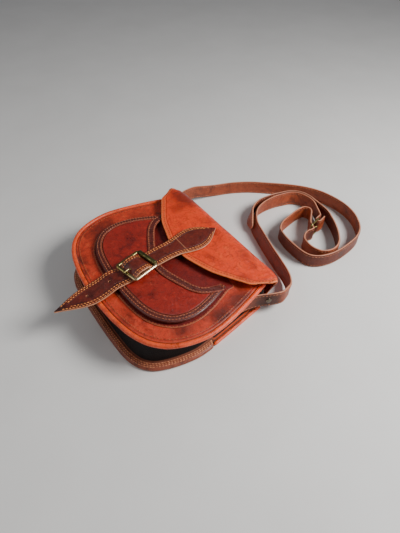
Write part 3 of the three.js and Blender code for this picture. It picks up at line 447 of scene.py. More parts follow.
POCKET_RISE = 7.5        # how far the pocket stands off the front
MOUTH_RISE = 0.75        # share of that at its mouth, which the flap holds down
POCKET_TOP = 0.1         # share of the pocket's height that its back reaches above its corners


def pocket_face(x, y):
    """The level of the pocket's upper face."""
    settled = smoothstep(POCKET_Y - y, -POCKET_TOP * POCKET_HEIGHT, 0.35 * POCKET_HEIGHT)
    return front_face(x, y) + POCKET_RISE * mix(MOUTH_RISE, 1, settled)


def pocket_back_face(x, y):
    """The level of the upper face of the pocket's back."""
    return front_face(x, y) + SEAM + LINING


def lifted(line, level):
    """A flat line or grid set at a level, which may be a number or a rule of x and y."""
    line = np.asarray(line, float)
    z = level(line[..., 0], line[..., 1]) if callable(level) else np.broadcast_to(level, line.shape[:-1])
    return np.concatenate([line[..., :2], np.asarray(z)[..., None]], axis=-1)


print("front at its middle", round(float(front_face(0, -7)), 1))
print("pocket at its middle", round(float(pocket_face(0, -40)), 1))

# %% [markdown]
# ## Pieces and their keeping
#
# Every new piece rides on the bag's one body and replaces the plain solid that it stands for. One small
# helper does both.


# %% Keeping pieces
pieces = {}


def keep(piece, slot, *nodes):
    """Gives a piece its body and the solids that it stands for. Its slot is not used."""
    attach(piece, "root")
    if nodes:
        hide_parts(*nodes)
    pieces[piece.name] = piece
    return piece


print("solids to dress:", len(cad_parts))

# %% [markdown]
# ## Panels
#
# The front and back panels are cut from stout hide, and their edges are hidden by the rolled strips. One
# face with many corners could fill such an outline, but it couldn't dome. A fan of points from the outline
# to the middle gives even rings, so that the face can swell and its rim is rounded all the way round.

# %% Panels
TUCK = 0.25              # how far a panel's edge runs in under its rolled strip


def fan(outline, middle, level, thickness, step=3.0):
    """Middle points of a flat or domed panel, from its closed outline in to its middle."""
    closed = np.vstack([outline, outline[:1]])
    around = resampled(closed, np.linspace(0, 1, round(lengths(closed)[-1] / step), endpoint=False))
    reach = np.linalg.norm(around - middle, axis=1).max()
    edge = thickness / 2
    inward = np.concatenate([edge * ROUNDING, np.arange(edge + step, reach, step)])
    shares = np.append(inward / reach, 1.0)
    flat = around[:, None] * (1 - shares[None, :, None]) + np.asarray(middle) * shares[None, :, None]
    grid = lifted(flat, level)
    grid[..., 2] -= thickness / 2
    return grid


def front_level(x, y):
    """The front's level with soft waves, about a third of a millimetre high."""
    points = np.stack([x, y], axis=-1)
    return front_face(x, y) + 0.35 * waver(points, 38, 3.0) - 0.15


front_middle = np.array([0.0, FOLD_Y - BAG_HEIGHT * 0.45])
front_grid = fan(inset(front_u, FRONT_EDGE - TUCK), front_middle, front_level, PANEL)
front_panel = keep(leather_sheet("front_leather", front_grid, PANEL, closed=True, pointed=True),
                   "tan_leather", "front_panel")
back_grid = fan(inset(back_u, BACK_EDGE - TUCK), np.zeros(2), lambda x, y: PANEL + 0 * x, PANEL)
back_panel = keep(leather_sheet("back_leather", back_grid, PANEL, closed=True, pointed=True),
                  "tan_leather", "back_panel")
print("panels", [len(p.data.polygons) for p in (front_panel, back_panel)], "faces")

# %% [markdown]
# ## The gusset
#
# The gusset is one long strip. Its foot is stitched to the back, its top is turned in under the front, and
# between them it sinks in softly. At the bag's mouth it stands straight and flares out. A wall pulled
# straight up from the outline would be stiff as a tin. So its section is drawn as a few rows, which change
# towards the mouth, and a smooth curve runs through them.
#
# A row of the section holds its share of the way from the back's outline to the front's, its inset from
# there in breadths of the foot, along the bag and then at the bag's two ends, and its share of the height.

# %% Gusset
GUSSET_ROWS = [
    (0.00, 0.0, 0.0, 0.00), (0.00, 1.0, 1.0, 0.00), (0.00, 1.3, 1.2, 0.09),
    (0.15, 1.7, 0.4, 0.26), (0.45, 2.2, 0.4, 0.52), (0.80, 1.6, 0.4, 0.78),
    (1.00, 1.0, 1.0, 0.96), (1.00, 1.2, 1.2, 1.00), (1.00, 2.2, 2.2, 1.00)]
WALL_ROWS = (3, 4, 5)    # the rows between the foot and the turned-in top
GUSSET_SPAN = 62.0       # length of the section


def gusset_wall():
    """The section's rows at every station of the outline."""
    from_end = np.minimum(np.arange(STATIONS + 1), STATIONS - np.arange(STATIONS + 1)) * COARSE / STATIONS
    straight = 1 - smoothstep(from_end, 2, 7)
    flare = 1 - smoothstep(from_end, 0, 3)
    rows = []
    for r, (toward, along, end, rise) in enumerate(GUSSET_ROWS):
        wall = r in WALL_ROWS
        share = mix(along, end + (1.2 - 2.4 * flare if wall else 0), straight)[:, None]
        front = mix(toward, 0.5 if wall else toward, straight)[:, None]
        depth = share * FOOT
        flat = mix(inset(back_u, BACK_EDGE + depth), inset(front_u, FRONT_EDGE + depth), front)
        if wall:
            flat = inset(flat, 0.9 * waver(flat, 26, r * 0.35)[:, None])
        low = PANEL + SEAM + GUSSET / 2
        high = front_face(flat[:, 0], flat[:, 1]) - PANEL - SEAM - GUSSET / 2
        rows.append(lifted(flat, mix(low, high, rise)))
    return np.stack(rows, axis=1)


gusset_rows = gusset_wall()
gusset_grid = filled(gusset_rows, GUSSET_SPAN, 2.6, GUSSET)
keep(leather_sheet("gusset_leather", gusset_grid, GUSSET, side=-1), "gusset_leather", "gusset")
print("gusset", gusset_grid.shape)

# %% [markdown]
# ## Rolled edges and the brown binding
#
# The front's seam is finished with a rolled strip of lighter leather, and so are the two upper sides of the
# back. Each is a tube along the outline, whose radius wavers like leather that was rolled by hand. Round
# the bottom the back has a flat brown binding instead, folded over the edge and stitched. A tube would be
# too fat for that, so the binding is a sheet that follows the fold.


# %% Rolled edges
def rolled(name, line, level, radius, seed):
    """A rolled strip along a line, which is nowhere fatter than its radius."""
    path = lifted(line, level)
    uneven = radius * (1 + 0.06 * waver(path, 14, seed) - 0.06)
    return tube(name, path, uneven, sides=20)


ROLL_CENTRE = BAG_DEPTH - ROLL_RADIUS * 0.6
keep(rolled("front_piping", inset(front_u, ROLL_RADIUS), ROLL_CENTRE, ROLL_RADIUS, 5.0),
     "edge_leather", "front_edge_roll")
coarse_back = part_of(back_u, 0, 1, COARSE + 1)
BINDING_Y = FOLD_Y - 80.0        # the binding begins below this
binding_start = int(np.argmax(coarse_back[:, 1] < BINDING_Y)) / COARSE
back_line = inset(back_u, BACK_ROLL_RADIUS)
for side, start, end in (("left", 0, binding_start), ("right", 1 - binding_start, 1)):
    line = part_of(back_line, start, end, 40)
    keep(rolled("back_piping_" + side, line, BACK_ROLL_RADIUS, BACK_ROLL_RADIUS, 8.0),
         "edge_leather", "back_edge_roll_" + side)

BINDING_TOP = PANEL + SEAM + GUSSET + SEAM + TRIM / 2
BINDING_ROWS = [(BACK_EDGE + FOOT - GUSSET - 2 * SEAM, BINDING_TOP), (BACK_EDGE, BINDING_TOP),
                (BACK_EDGE * 0.55, BINDING_TOP - 0.3), (TRIM / 2, BINDING_TOP * 0.62), (TRIM / 2, 0.9)]


BINDING_SPAN = 14.0              # length of its section
BINDING_COUNT = 170              # stations along it
BINDING_GAP = 0.0012             # share of the outline between it and the rolled strips


def binding_points():
    """The binding's middle points, section by section along the outline."""
    start = binding_start + BINDING_GAP
    end = 1 - binding_start - BINDING_GAP
    rows = [lifted(part_of(inset(back_u, depth), start, end, BINDING_COUNT), level)
            for depth, level in BINDING_ROWS]
    return filled(np.stack(rows, axis=1), BINDING_SPAN, 1.2, TRIM)


binding_grid = binding_points()
binding_grid[..., 2] += 0.12 * waver(binding_grid, 9, 2.0)
keep(leather_sheet("binding_leather", binding_grid, TRIM, side=-1), "brown_leather", "bottom_binding")
print("binding starts at", round(binding_start, 3))

# %% [markdown]
# ## The flap
#
# One sheet, stitched inside the back, rolled over the mouth and cut to a shallow curve in front. A flat
# sheet could be bent with a cloth simulation, but its corners would never lie where the photograph has
# them. So the sheet is drawn: its section is a list of stations round the roll, and its cut edge is a list
# of drops across the bag.
#
# A station of the roll holds how far out it is, how far up and how wide the flap is there. A place across
# the bag holds how far the flap drops there and how far the roll stands out. All of them are shares.

# %% Flap
FLAP_HALF = 113.5
FLAP_SHIFT = 2.0         # how far it sits to the right of the bag's middle
FLAP_DROP = 64.0         # from the fold's corners down to the cut edge in the middle
FOLD_REACH = 20.0        # how far the roll stands out past the fold's corners
LAP = 14.0               # how far the flap runs down inside the back
FLAP_FACE = float(front_face(0, FOLD_Y - 47.0)) + POCKET_RISE + SEAM + PANEL
FOLD_ROWS = [(-0.50, 0.00, 0.750), (0.04, 0.00, 0.750), (0.42, 0.02, 0.810), (0.78, 0.14, 0.825),
             (0.96, 0.34, 0.860), (1.00, 0.56, 0.905), (0.88, 0.78, 0.955), (0.58, 0.93, 0.985),
             (0.20, 0.99, 1.000)]
FLAP_EDGE = [(0.00, 1.00, 1.00), (0.15, 0.985, 1.00), (0.32, 0.90, 1.00), (0.50, 0.79, 1.00),
             (0.66, 0.63, 1.00), (0.80, 0.475, 1.00), (0.88, 0.38, 0.97), (0.94, 0.19, 0.88),
             (1.00, 0.03, 0.64)]


def flap_points():
    """The flap's middle points, section by section from its left side to its right one."""
    low, high = PANEL + SEAM + PANEL / 2, FLAP_FACE - PANEL / 2
    places, drops, folds = zip(*FLAP_EDGE)
    grid = []
    for share in [-s for s in places[:0:-1]] + list(places):
        drop = FLAP_DROP * np.interp(abs(share), places, drops)
        reach = FOLD_REACH * np.interp(abs(share), places, folds)
        section = []
        for out, up, wide in FOLD_ROWS:
            y = FOLD_Y - LAP if out < 0 else FOLD_Y + out * reach
            section.append((share * FLAP_HALF * wide + FLAP_SHIFT, y, mix(low, high, up)))
        fold_end = FOLD_ROWS[-1][0] * reach
        for part in (0.25, 0.5, 0.75, 1):
            y = FOLD_Y + fold_end - part * (drop + fold_end)
            section.append((share * FLAP_HALF + FLAP_SHIFT, y, high))
        grid.append(section)
    return refined(grid, 2.4, 2.4, PANEL / 2)


flap_grid = flap_points()
on_top = smoothstep(flap_grid[..., 2], FLAP_FACE - 14, FLAP_FACE - 2)
flap_grid[..., 2] += on_top * (0.55 * waver(flap_grid, 42, 1.0) + 0.18 * waver(flap_grid, 15, 4.0))
keep(leather_sheet("flap_leather", flap_grid, PANEL, side=-1), "tan_leather", "flap")
print("flap", flap_grid.shape)

# %% [markdown]
# ## The pocket
#
# The pocket is a small bag on the bag: a flat back with a stitched margin, a low dark wall, a red front, a
# brown border rolled down round it, and a brown strip along its mouth, which dips across the pocket. It
# could be one box with painted edges. Separate sheets were chosen, because each of them casts its own thin
# shadow on the next, and those shadows are what shows the pocket's depth.

# %% Pocket mouth and back
BORDER = 8.5             # breadth of the border
MOUTH_TRIM = 9.5         # breadth of the strip along the mouth
MOUTH_LINE = [(-0.740, -0.060), (-0.700, 0.080), (-0.590, 0.195), (-0.410, 0.295), (-0.210, 0.390),
              (-0.020, 0.455), (0.170, 0.475), (0.380, 0.425), (0.570, 0.365), (0.705, 0.300),
              (0.785, 0.210), (0.815, 0.100)]
MOUTH_COUNT = 90         # stations along the mouth
MARGIN = 3.5             # how far the pocket's back stands out round it


def on_pocket(shares):
    """Places on the pocket, from shares of its half width across and of its height down."""
    return [(across * POCKET_HALF + POCKET_SHIFT, POCKET_Y - down * POCKET_HEIGHT)
            for across, down in shares]


mouth = spline(on_pocket(MOUTH_LINE), np.linspace(0, 1, MOUTH_COUNT))
flange = inset(pocket_u, -MARGIN)
corners = on_pocket([(across, -POCKET_TOP) for across in (0.86, 0.4, 0.0, -0.4, -0.86)])
pocket_middle = np.array([POCKET_SHIFT, POCKET_Y - 0.5 * POCKET_HEIGHT])
pocket_back_grid = fan(np.vstack([flange, corners]), pocket_middle, pocket_back_face, LINING)
pocket_back = leather_sheet("pocket_back_leather", pocket_back_grid, LINING, closed=True, pointed=True)
keep(pocket_back, "pocket_leather", "pocket_back")
print("pocket back", len(pocket_back.data.polygons), "faces")

# %% [markdown]
# The pocket's front is one sheet from under the mouth's strip down to the border. A fan would pinch it in
# the middle. So its grid hangs from the mouth: its upper edge follows the dip there, and its lower edge the
# round of the pocket.

# %% Pocket front
POCKET_SPAN = 62.0       # a length of the sheet from mouth to border, which sets its rows
lower = part_of(inset(pocket_u, BORDER + 2 * SEAM), 2 / COARSE, 1 - 2 / COARSE, MOUTH_COUNT)
upper = inset(mouth, MOUTH_TRIM / 2 - 0.8)
shares = spaced(POCKET_SPAN, 2.6, POCKET / 2)[None, :, None]
front_flat = upper[:, None] * (1 - shares) + lower[:, None] * shares


def pocket_level(x, y):
    """The pocket's level with soft waves, about a third of a millimetre high."""
    points = np.stack([x, y], axis=-1)
    return pocket_face(x, y) + 0.3 * waver(points, 30, 7.0) - 0.15


pocket_front_grid = lifted(front_flat, pocket_level)
pocket_front_grid[..., 2] -= POCKET / 2
pocket_front = keep(leather_sheet("pocket_front_leather", pocket_front_grid, POCKET, side=-1),
                    "pocket_leather", "pocket_front")
print("pocket front", len(pocket_front.data.polygons), "faces")

# %% [markdown]
# The border is a strip that lies on the front, bends over the edge and turns in below it. A tube would give
# the bend but not the flat, stitched part. Its section is a few stations, each with its share of the
# border's breadth in from the edge and its share of the way down to the back. The wall behind it is low
# and dark, and hardly shows.

# %% Pocket border and wall
BORDER_ROWS = [(1.00, 0.00), (0.55, 0.00), (0.24, 0.05), (0.09, 0.20), (0.09, 0.38), (0.26, 0.52)]
BORDER_SPAN = 13.0       # length of its section
WALL_SECTION = [(0.95, 0), (0.75, 0.5), (0.95, 1)]       # the same for the wall, from its foot up
WALL_SPAN = 5.0


def border_points():
    """The border's middle points, section by section round the pocket."""
    rows = []
    for depth, sink in BORDER_ROWS:
        flat = inset(pocket_u, depth * BORDER)
        face, back = pocket_face(flat[:, 0], flat[:, 1]), pocket_back_face(flat[:, 0], flat[:, 1])
        rows.append(lifted(flat, face - TRIM / 2 - sink * (face - back)))
    return filled(np.stack(rows, axis=1), BORDER_SPAN, 1.0, TRIM)


border_grid = border_points()
border_grid[..., 2] += 0.12 * waver(border_grid, 10, 6.0)
keep(leather_sheet("pocket_border_leather", border_grid, TRIM, side=-1), "brown_leather", "pocket_border")

wall_rows = []
for depth, rise in WALL_SECTION:
    flat = inset(pocket_u, depth * BORDER)
    low = pocket_back_face(flat[:, 0], flat[:, 1]) + 2 * SEAM
    high = pocket_face(flat[:, 0], flat[:, 1]) - POCKET - 2 * SEAM
    wall_rows.append(lifted(flat, mix(low, high, rise)))
wall_grid = filled(np.stack(wall_rows, axis=1), WALL_SPAN, 1.0, LINING)
keep(leather_sheet("pocket_wall_leather", wall_grid, LINING, side=-1), "gusset_leather", "pocket_wall")
print("border", border_grid.shape, "wall", wall_grid.shape)

# %% [markdown]
# The mouth's strip is sewn over the raw edge of the red front. It lies half above and half below that edge,
# so it's a ribbon along the mouth's line. At its right end it turns up along the border, as on the real
# bag, where a straight cut would have been easier and plainer.


# %% Mouth strip
def trim_level(x, y):
    """The level of the strip's upper face."""
    return pocket_face(x, y) + SEAM + TRIM


def eased(line, every=6):
    """The same line drawn again through fewer of its points, which loses its kinks."""
    return spline(np.vstack([line[:-every:every], line[-1:]]), np.linspace(0, 1, len(line)))


TRIM_END = [(0.610, 0.350), (0.700, 0.305), (0.770, 0.230), (0.812, 0.140), (0.832, 0.045)]
TRIM_TURNS = 0.80        # share of the mouth's length at which the strip leaves it
trim_shares = spaced(MOUTH_TRIM, 1.0, TRIM / 2)[None, :, None]
trim_start = part_of(mouth, 0.0, TRIM_TURNS, 12)
trimmed = spline(np.vstack([trim_start, on_pocket(TRIM_END)]), np.linspace(0, 1, MOUTH_COUNT))
trim_flat = (eased(inset(trimmed, MOUTH_TRIM / 2))[:, None] * (1 - trim_shares)
             + eased(inset(trimmed, -MOUTH_TRIM / 2))[:, None] * trim_shares)
trim_grid = lifted(trim_flat, trim_level)
trim_grid[..., 2] += 0.15 * waver(trim_grid, 11, 3.0) - TRIM / 2
keep(leather_sheet("mouth_trim_leather", trim_grid, TRIM), "brown_leather", "pocket_mouth_trim")
print("mouth strip", trim_grid.shape)

# %% [markdown]
# ## The closing strap
#
# It starts as a leaf sewn on the flap, narrows to a band, threads its buckle and runs on to a point past
# the bottom. A Shrinkwrap modifier could lay it on the bag, but it would press it into every step. A real
# strap bridges the steps and is lifted by the buckle's bars. So its levels are worked out first, from the
# thickness of everything that lies under it.

# %% Closing strap: sizes and levels
CLOSURE_WIDTH = 31.0
LEAF_WIDTH = 42.0
CLOSURE_LENGTH = 228.0
BUCKLE_LENGTH = 38.0
BUCKLE_WIDTH = 38.0
BUCKLE_TURN = math.radians(13)
BUCKLE_SHIFT = 3.0       # how far the buckle sits to the right of the flap's middle
STRAP_FOLLOWS = 0.6      # share of the buckle's turn that the strap in it follows
BUCKLE_WIRE = 3.2
ROLLER = 2.3             # radius that the strap's level leaves for the roller
PRONG = 2.4
HOLE = 4.6
HOLE_PITCH = 30.0
TIP_SAG = 3.0            # how far the point hangs down past the bottom
LEAF, BAND = LEAF_WIDTH / 2, CLOSURE_WIDTH / 2
buckle_y = FOLD_Y - 121.0
bar_y = BUCKLE_LENGTH / 2
leaf_y = FOLD_Y - 1.0
tip_y = leaf_y - CLOSURE_LENGTH
bottom_y = FOLD_Y - BAG_HEIGHT
flap_edge_y = FOLD_Y - FLAP_DROP
pocket_bottom_y = POCKET_Y - POCKET_HEIGHT
trim_y = float(np.interp(BUCKLE_SHIFT, mouth[:, 0], mouth[:, 1]))
trim_top = float(trim_level(0.0, trim_y))
chape_top = float(pocket_face(0.0, buckle_y)) + SEAM + TRIM
middle_bar_z = chape_top + PRONG * 0.9
frame_z = max(trim_top + 2 * SEAM + CLOSURE + ROLLER, middle_bar_z + BUCKLE_WIRE * 0.5)
under_bar = frame_z - ROLLER - SEAM - CLOSURE / 2
over_bar = middle_bar_z + BUCKLE_WIRE * 0.4 + 2 * SEAM + PRONG + CLOSURE * 0.8
on_flap = FLAP_FACE + SEAM + CLOSURE / 2
on_border = float(pocket_face(0.0, pocket_bottom_y + BORDER)) + SEAM + CLOSURE / 2
on_roll = ROLL_CENTRE + ROLL_RADIUS + SEAM + CLOSURE / 2
print("strap levels on flap, border and roll", [round(z, 1) for z in (on_flap, on_border, on_roll)])

# %% [markdown]
# Now the strap itself, which changes its breadth and its level all the way. It's a table of rows from the
# leaf to the point. A row holds its y, the strap's half width and level there, how much the row lies askew
# with the buckle, and its middle across the bag.


# %% Closing strap: rows
def drifted(share):
    """A row's middle across the bag, as a share of the buckle's."""
    return BUCKLE_SHIFT * share


def on_leaf(share, width):
    """A row of the leaf, at a share of its way down the flap."""
    return (mix(leaf_y, flap_edge_y, share), width * LEAF, on_flap, 0, 0)


def in_frame(ahead, width, level):
    """A row of the strap inside the buckle, some millimetres from its middle bar."""
    y = buckle_y + ahead
    askew_x = BUCKLE_SHIFT + (buckle_y - y) * math.sin(BUCKLE_TURN)
    return (y, width * BAND, level, 1, mix(BUCKLE_SHIFT, askew_x, STRAP_FOLLOWS))


def to_tip(share, width, sag, drift):
    """A row between the bag's bottom and the strap's point."""
    return (mix(bottom_y, tip_y, share), width * BAND, on_roll - TIP_SAG * sag, 0, drifted(drift))


CLOSURE_ROWS = [
    (leaf_y, 0.04 * LEAF, on_flap, 0, 0),
    on_leaf(0.12, 0.34), on_leaf(0.32, 0.80), on_leaf(0.55, 1.00), on_leaf(0.80, 0.90),
    (flap_edge_y, 1.00 * BAND, on_flap + 0.4, 0, 0),
    (mix(flap_edge_y, trim_y, 0.5), 0.93 * BAND, mix(on_flap, under_bar, 0.6) + 0.4, 0, 0),
    (trim_y + MOUTH_TRIM * 0.6, 0.93 * BAND, under_bar, 0, 0),
    in_frame(bar_y - BUCKLE_WIRE, 0.90, under_bar),
    in_frame(BUCKLE_LENGTH * 0.32, 0.90, mix(under_bar, over_bar, 0.35)),
    in_frame(BUCKLE_LENGTH * 0.17, 0.93, mix(under_bar, over_bar, 0.9)),
    in_frame(0.0, 0.94, over_bar),
    in_frame(-BUCKLE_LENGTH * 0.17, 0.93, mix(under_bar, over_bar, 0.9)),
    in_frame(-BUCKLE_LENGTH * 0.32, 0.90, mix(under_bar, over_bar, 0.35)),
    in_frame(BUCKLE_WIRE - bar_y, 0.92, under_bar),
    (pocket_bottom_y + BORDER, 1.01 * BAND, on_border + 0.2, 0, drifted(0.9)),
    (pocket_bottom_y, 1.02 * BAND, on_border - 0.2, 0, drifted(0.85)),
    (mix(pocket_bottom_y, bottom_y, 0.5), 1.03 * BAND, mix(on_border, on_roll, 0.65), 0, drifted(0.8)),
    (bottom_y, 1.02 * BAND, on_roll, 0, drifted(0.65)),
    to_tip(0.3, 0.85, 0.25, 0.45), to_tip(0.6, 0.53, 0.55, 0.2), to_tip(0.85, 0.22, 0.85, 0),
    (tip_y, 0.05 * BAND, on_roll - TIP_SAG, 0, 0)]
CROWN = 0.35             # how much higher the strap's middle is than its edges
CROWN_FADE = 25          # the crown fades out over this length, before the buckle presses it flat


def closure_points():
    """The strap's middle points, and for each row its y, level, half width, skew and middle."""
    line = np.array(CLOSURE_ROWS, float)[:, [0, 2, 1, 3, 4]]
    fine = spline(line, spaced(CLOSURE_LENGTH, 1.8, CLOSURE / 2), by=2)
    across = spaced(CLOSURE_WIDTH, 1.6, CLOSURE / 2) * 2 - 1
    half = fine[:, 2:3] * across[None, :]
    y = fine[:, 0:1] + half * math.tan(BUCKLE_TURN) * fine[:, 3:4]
    free = smoothstep(np.abs(fine[:, 0:1] - buckle_y), bar_y, bar_y + CROWN_FADE)
    crown = CROWN * (1 - across[None, :] ** 2) * free
    return np.stack([half + fine[:, 4:5], y, fine[:, 1:2] + crown], axis=-1), fine


closure_grid, closure_line = closure_points()
closing = leather_sheet("closing_strap_leather", closure_grid, CLOSURE, side=1)
print("closing strap", closure_grid.shape, "frame level", round(frame_z, 1))

# %% [markdown]
# The spare holes are punched right through, as a saddler does it, so they are cut with a Boolean and round
# punches. A dark dot would do from afar, but it has no edge that catches the light.


# %% Punched holes
def on_closure(y):
    """The strap's middle at a place along it."""
    level, middle = (float(np.interp(-y, -closure_line[:, 0], closure_line[:, k])) for k in (1, 4))
    return middle, y, level


def punched(piece, centres, radius):
    """Round holes cut straight down through a piece, one above each centre."""
    depth = 12 * MM
    work = bmesh.new()
    for x, y, z in centres:
        ring = bmesh.ops.create_cone(work, cap_ends=True, segments=28, radius1=radius * MM,
                                     radius2=radius * MM, depth=depth)
        bmesh.ops.translate(work, verts=ring["verts"], vec=Vector((x, y, z)) * MM)
    mesh = bpy.data.meshes.new("punch")
    work.to_mesh(mesh)
    work.free()
    tool = placed("punch", mesh)
    cut = piece.modifiers.new("holes", "BOOLEAN")
    cut.operation = "DIFFERENCE"
    cut.solver = "EXACT"
    cut.object = tool
    graph = bpy.context.evaluated_depsgraph_get()
    fresh = bpy.data.meshes.new_from_object(piece.evaluated_get(graph))
    piece.modifiers.clear()
    piece.data = fresh
    bpy.data.objects.remove(tool)
    return piece


prong_hole_y = buckle_y - BUCKLE_LENGTH * 0.27
first_hole_y = prong_hole_y - HOLE_PITCH * 0.9
spare_holes = [on_closure(y) for y in (first_hole_y, first_hole_y - HOLE_PITCH)]
keep(punched(closing, spare_holes, HOLE / 3), "brown_leather", "closing_strap")
print("spare holes at", [round(y) for _, y, _ in spare_holes])

# %% [markdown]
# ## The closing buckle
#
# A cast brass frame with a middle bar, a thick roller on its upper bar, and a prong that comes up through
# the strap. It lies a little askew, as it does on the real bag. A beveled plate with a window in it could
# be the frame, but cast bars are oval all round. So each bar is a tube, and the tubes are joined.


# %% Closing buckle: frame
def loop_line(length, width, corner, count=10):
    """A rectangle with round corners, as a closed flat line."""
    points = []
    for sx, sy, start in ((1, 1, 0), (-1, 1, 1), (-1, -1, 2), (1, -1, 3)):
        for part in np.linspace(0, 1, count):
            turn = (start + part) * math.pi / 2
            points.append((sx * (width / 2 - corner) + corner * math.cos(turn),
                           sy * (length / 2 - corner) + corner * math.sin(turn)))
    return np.array(points)


def in_buckle(x, y, z):
    """A point of the closing buckle, turned with it about the middle of its middle bar."""
    c, s = math.cos(BUCKLE_TURN), math.sin(BUCKLE_TURN)
    x, y, z = np.broadcast_arrays(np.asarray(x, float), y, z)
    return np.stack([BUCKLE_SHIFT + x * c - y * s, buckle_y + x * s + y * c, z], axis=-1)


BROAD = 2.1              # half the breadth of the frame's flat cast bars
CORNER = 2.4             # how round its corners are
wire = BUCKLE_WIRE / 2
outline = loop_line(BUCKLE_LENGTH - 2 * BROAD, BUCKLE_WIDTH - 2 * BROAD, CORNER)
rim_line = in_buckle(outline[:, 0], outline[:, 1], frame_z)
half = BUCKLE_WIDTH / 2 - wire
bar_line = in_buckle(np.linspace(-half, half, 12), 0.0, middle_bar_z)
frame_parts = [tube("rim", rim_line, BROAD, sides=20, closed=True, flat=wire / BROAD),
               tube("bar", bar_line, wire * 0.8)]
for side in (-1, 1):
    post = in_buckle(side * half, 0.0, np.linspace(middle_bar_z - wire * 0.8, frame_z, 6))
    frame_parts.append(tube("post", post, wire * 0.9, up=(0, 1, 0)))
keep(joined("closing_buckle_rim", frame_parts), "aged_brass", "closing_buckle_frame")
print("buckle stands at", round(frame_z, 1), "mm")

# %% [markdown]
# The roller is a sleeve of sheet brass that turns on the upper bar, so that the strap runs over it easily.
# It's stout and presses into the leather under it. A tube would close its ends in domes, so it is turned
# on a lathe instead: its profile is spun round the bar.


# %% Closing buckle: roller
def lathe(name, profile, place, axis, sides=32):
    """A profile of (reach, height) pairs spun round an axis that starts at a place."""
    axis = Vector(axis).normalized()
    turn = axis.to_track_quat("Z", "Y")
    verts, faces = [], []
    for reach, height in profile:
        reach = max(reach, 1e-3)
        for k in range(sides):
            angle = k / sides * 2 * math.pi
            spun = turn @ Vector((reach * math.cos(angle), reach * math.sin(angle), height))
            verts.append(Vector(place) + spun)
    for i in range(len(profile) - 1):
        for k in range(sides):
            n = (k + 1) % sides
            faces.append((i * sides + k, i * sides + n, (i + 1) * sides + n, (i + 1) * sides + k))
    faces.append(tuple(range(sides))[::-1])
    faces.append(tuple(range((len(profile) - 1) * sides, len(profile) * sides)))
    points = np.array([tuple(v) for v in verts])
    return mesh_object(name, points, faces, {"rim": np.full(len(verts), NO_EDGE)})


SLEEVE = ROLLER + 0.8
roller_half = CLOSURE_WIDTH / 2 - 1
roller_y = bar_y - wire
sleeve_z = frame_z + 0.3
roller_start = in_buckle(-roller_half, roller_y, sleeve_z)
roller_axis = in_buckle(roller_half, roller_y, sleeve_z) - roller_start
span = 2 * roller_half
ROLLER_PROFILE = [(wire + SEAM, 0.0), (SLEEVE * 0.9, 0.0), (SLEEVE, 0.5), (SLEEVE, span * 0.5),
                  (SLEEVE, span - 0.5), (SLEEVE * 0.9, span), (wire + SEAM, span)]
keep(lathe("closing_buckle_sleeve", ROLLER_PROFILE, roller_start, roller_axis),
     "aged_brass", "closing_buckle_roller")
print("roller", round(span, 1), "mm long")

# %% [markdown]
# The prong is a wire hooked round the middle bar. It comes up through its hole in the strap and rests on
# the lower bar. A straight pin would pass through the bar, so it is a tube along a bent path. Each place of
# the path is how far ahead of the bar it lies, and its level.

# %% Closing buckle: prong
reach = PRONG / 2 + BUCKLE_WIRE * 0.4 + SEAM
rest = frame_z + wire + SEAM + PRONG / 2
hole_y = prong_hole_y - buckle_y
PRONG_PATH = [(reach * 0.2, middle_bar_z + reach), (reach * 0.9, middle_bar_z + reach * 0.45),
              (reach, middle_bar_z - reach * 0.1), (reach * 0.5, middle_bar_z - reach * 0.85),
              (-reach * 0.4, middle_bar_z - reach * 0.95), (-reach * 1.1, middle_bar_z - reach * 0.4),
              (hole_y + HOLE * 0.55, mix(middle_bar_z, rest, 0.35)),
              (hole_y, mix(middle_bar_z, rest, 0.75)),
              (hole_y - HOLE * 0.7, rest), (-bar_y - 2.5, rest - 0.1)]
prong_flat = spline(PRONG_PATH, np.linspace(0, 1, 60))
prong_line = in_buckle(0.0, prong_flat[:, 0], prong_flat[:, 1])
keep(tube("closing_buckle_tongue", prong_line, PRONG / 2, up=(1, 0, 0)),
     "aged_brass", "closing_buckle_prong")
print("prong", round(lengths(prong_flat)[-1], 1), "mm long")

# %% [markdown]
# The chape is the short leather loop that holds the buckle's middle bar down on the pocket. Most of it is
# hidden, but its end shows beside the strap, so it's a thin sheet that is carried round the bar.

# %% Closing buckle: chape
CHAPE_SPAN = 26.0        # length of its section
chape_reach = BUCKLE_WIRE * 0.4 + SEAM + TRIM / 2
chape_low = float(pocket_face(0.0, buckle_y)) + SEAM + TRIM / 2
CHAPE_ROWS = [(BUCKLE_LENGTH * 0.30, chape_low), (chape_reach * 1.4, chape_low),
              (-chape_reach * 0.6, chape_low), (-chape_reach * 1.05, mix(chape_low, middle_bar_z, 0.5)),
              (-chape_reach, middle_bar_z + chape_reach * 0.3),
              (-chape_reach * 0.3, middle_bar_z + chape_reach),
              (chape_reach * 0.6, middle_bar_z + chape_reach * 0.9)]
chape_line = spline(CHAPE_ROWS, spaced(CHAPE_SPAN, 1.0, TRIM / 2))
chape_across = (spaced(CLOSURE_WIDTH * 0.6, 1.0, TRIM / 2) * 2 - 1) * CLOSURE_WIDTH * 0.3
chape_grid = np.stack([in_buckle(x, chape_line[:, 0], chape_line[:, 1]) for x in chape_across], axis=1)
keep(leather_sheet("closing_buckle_loop", chape_grid, TRIM), "brown_leather", "closing_buckle_chape")
print("chape", chape_grid.shape)
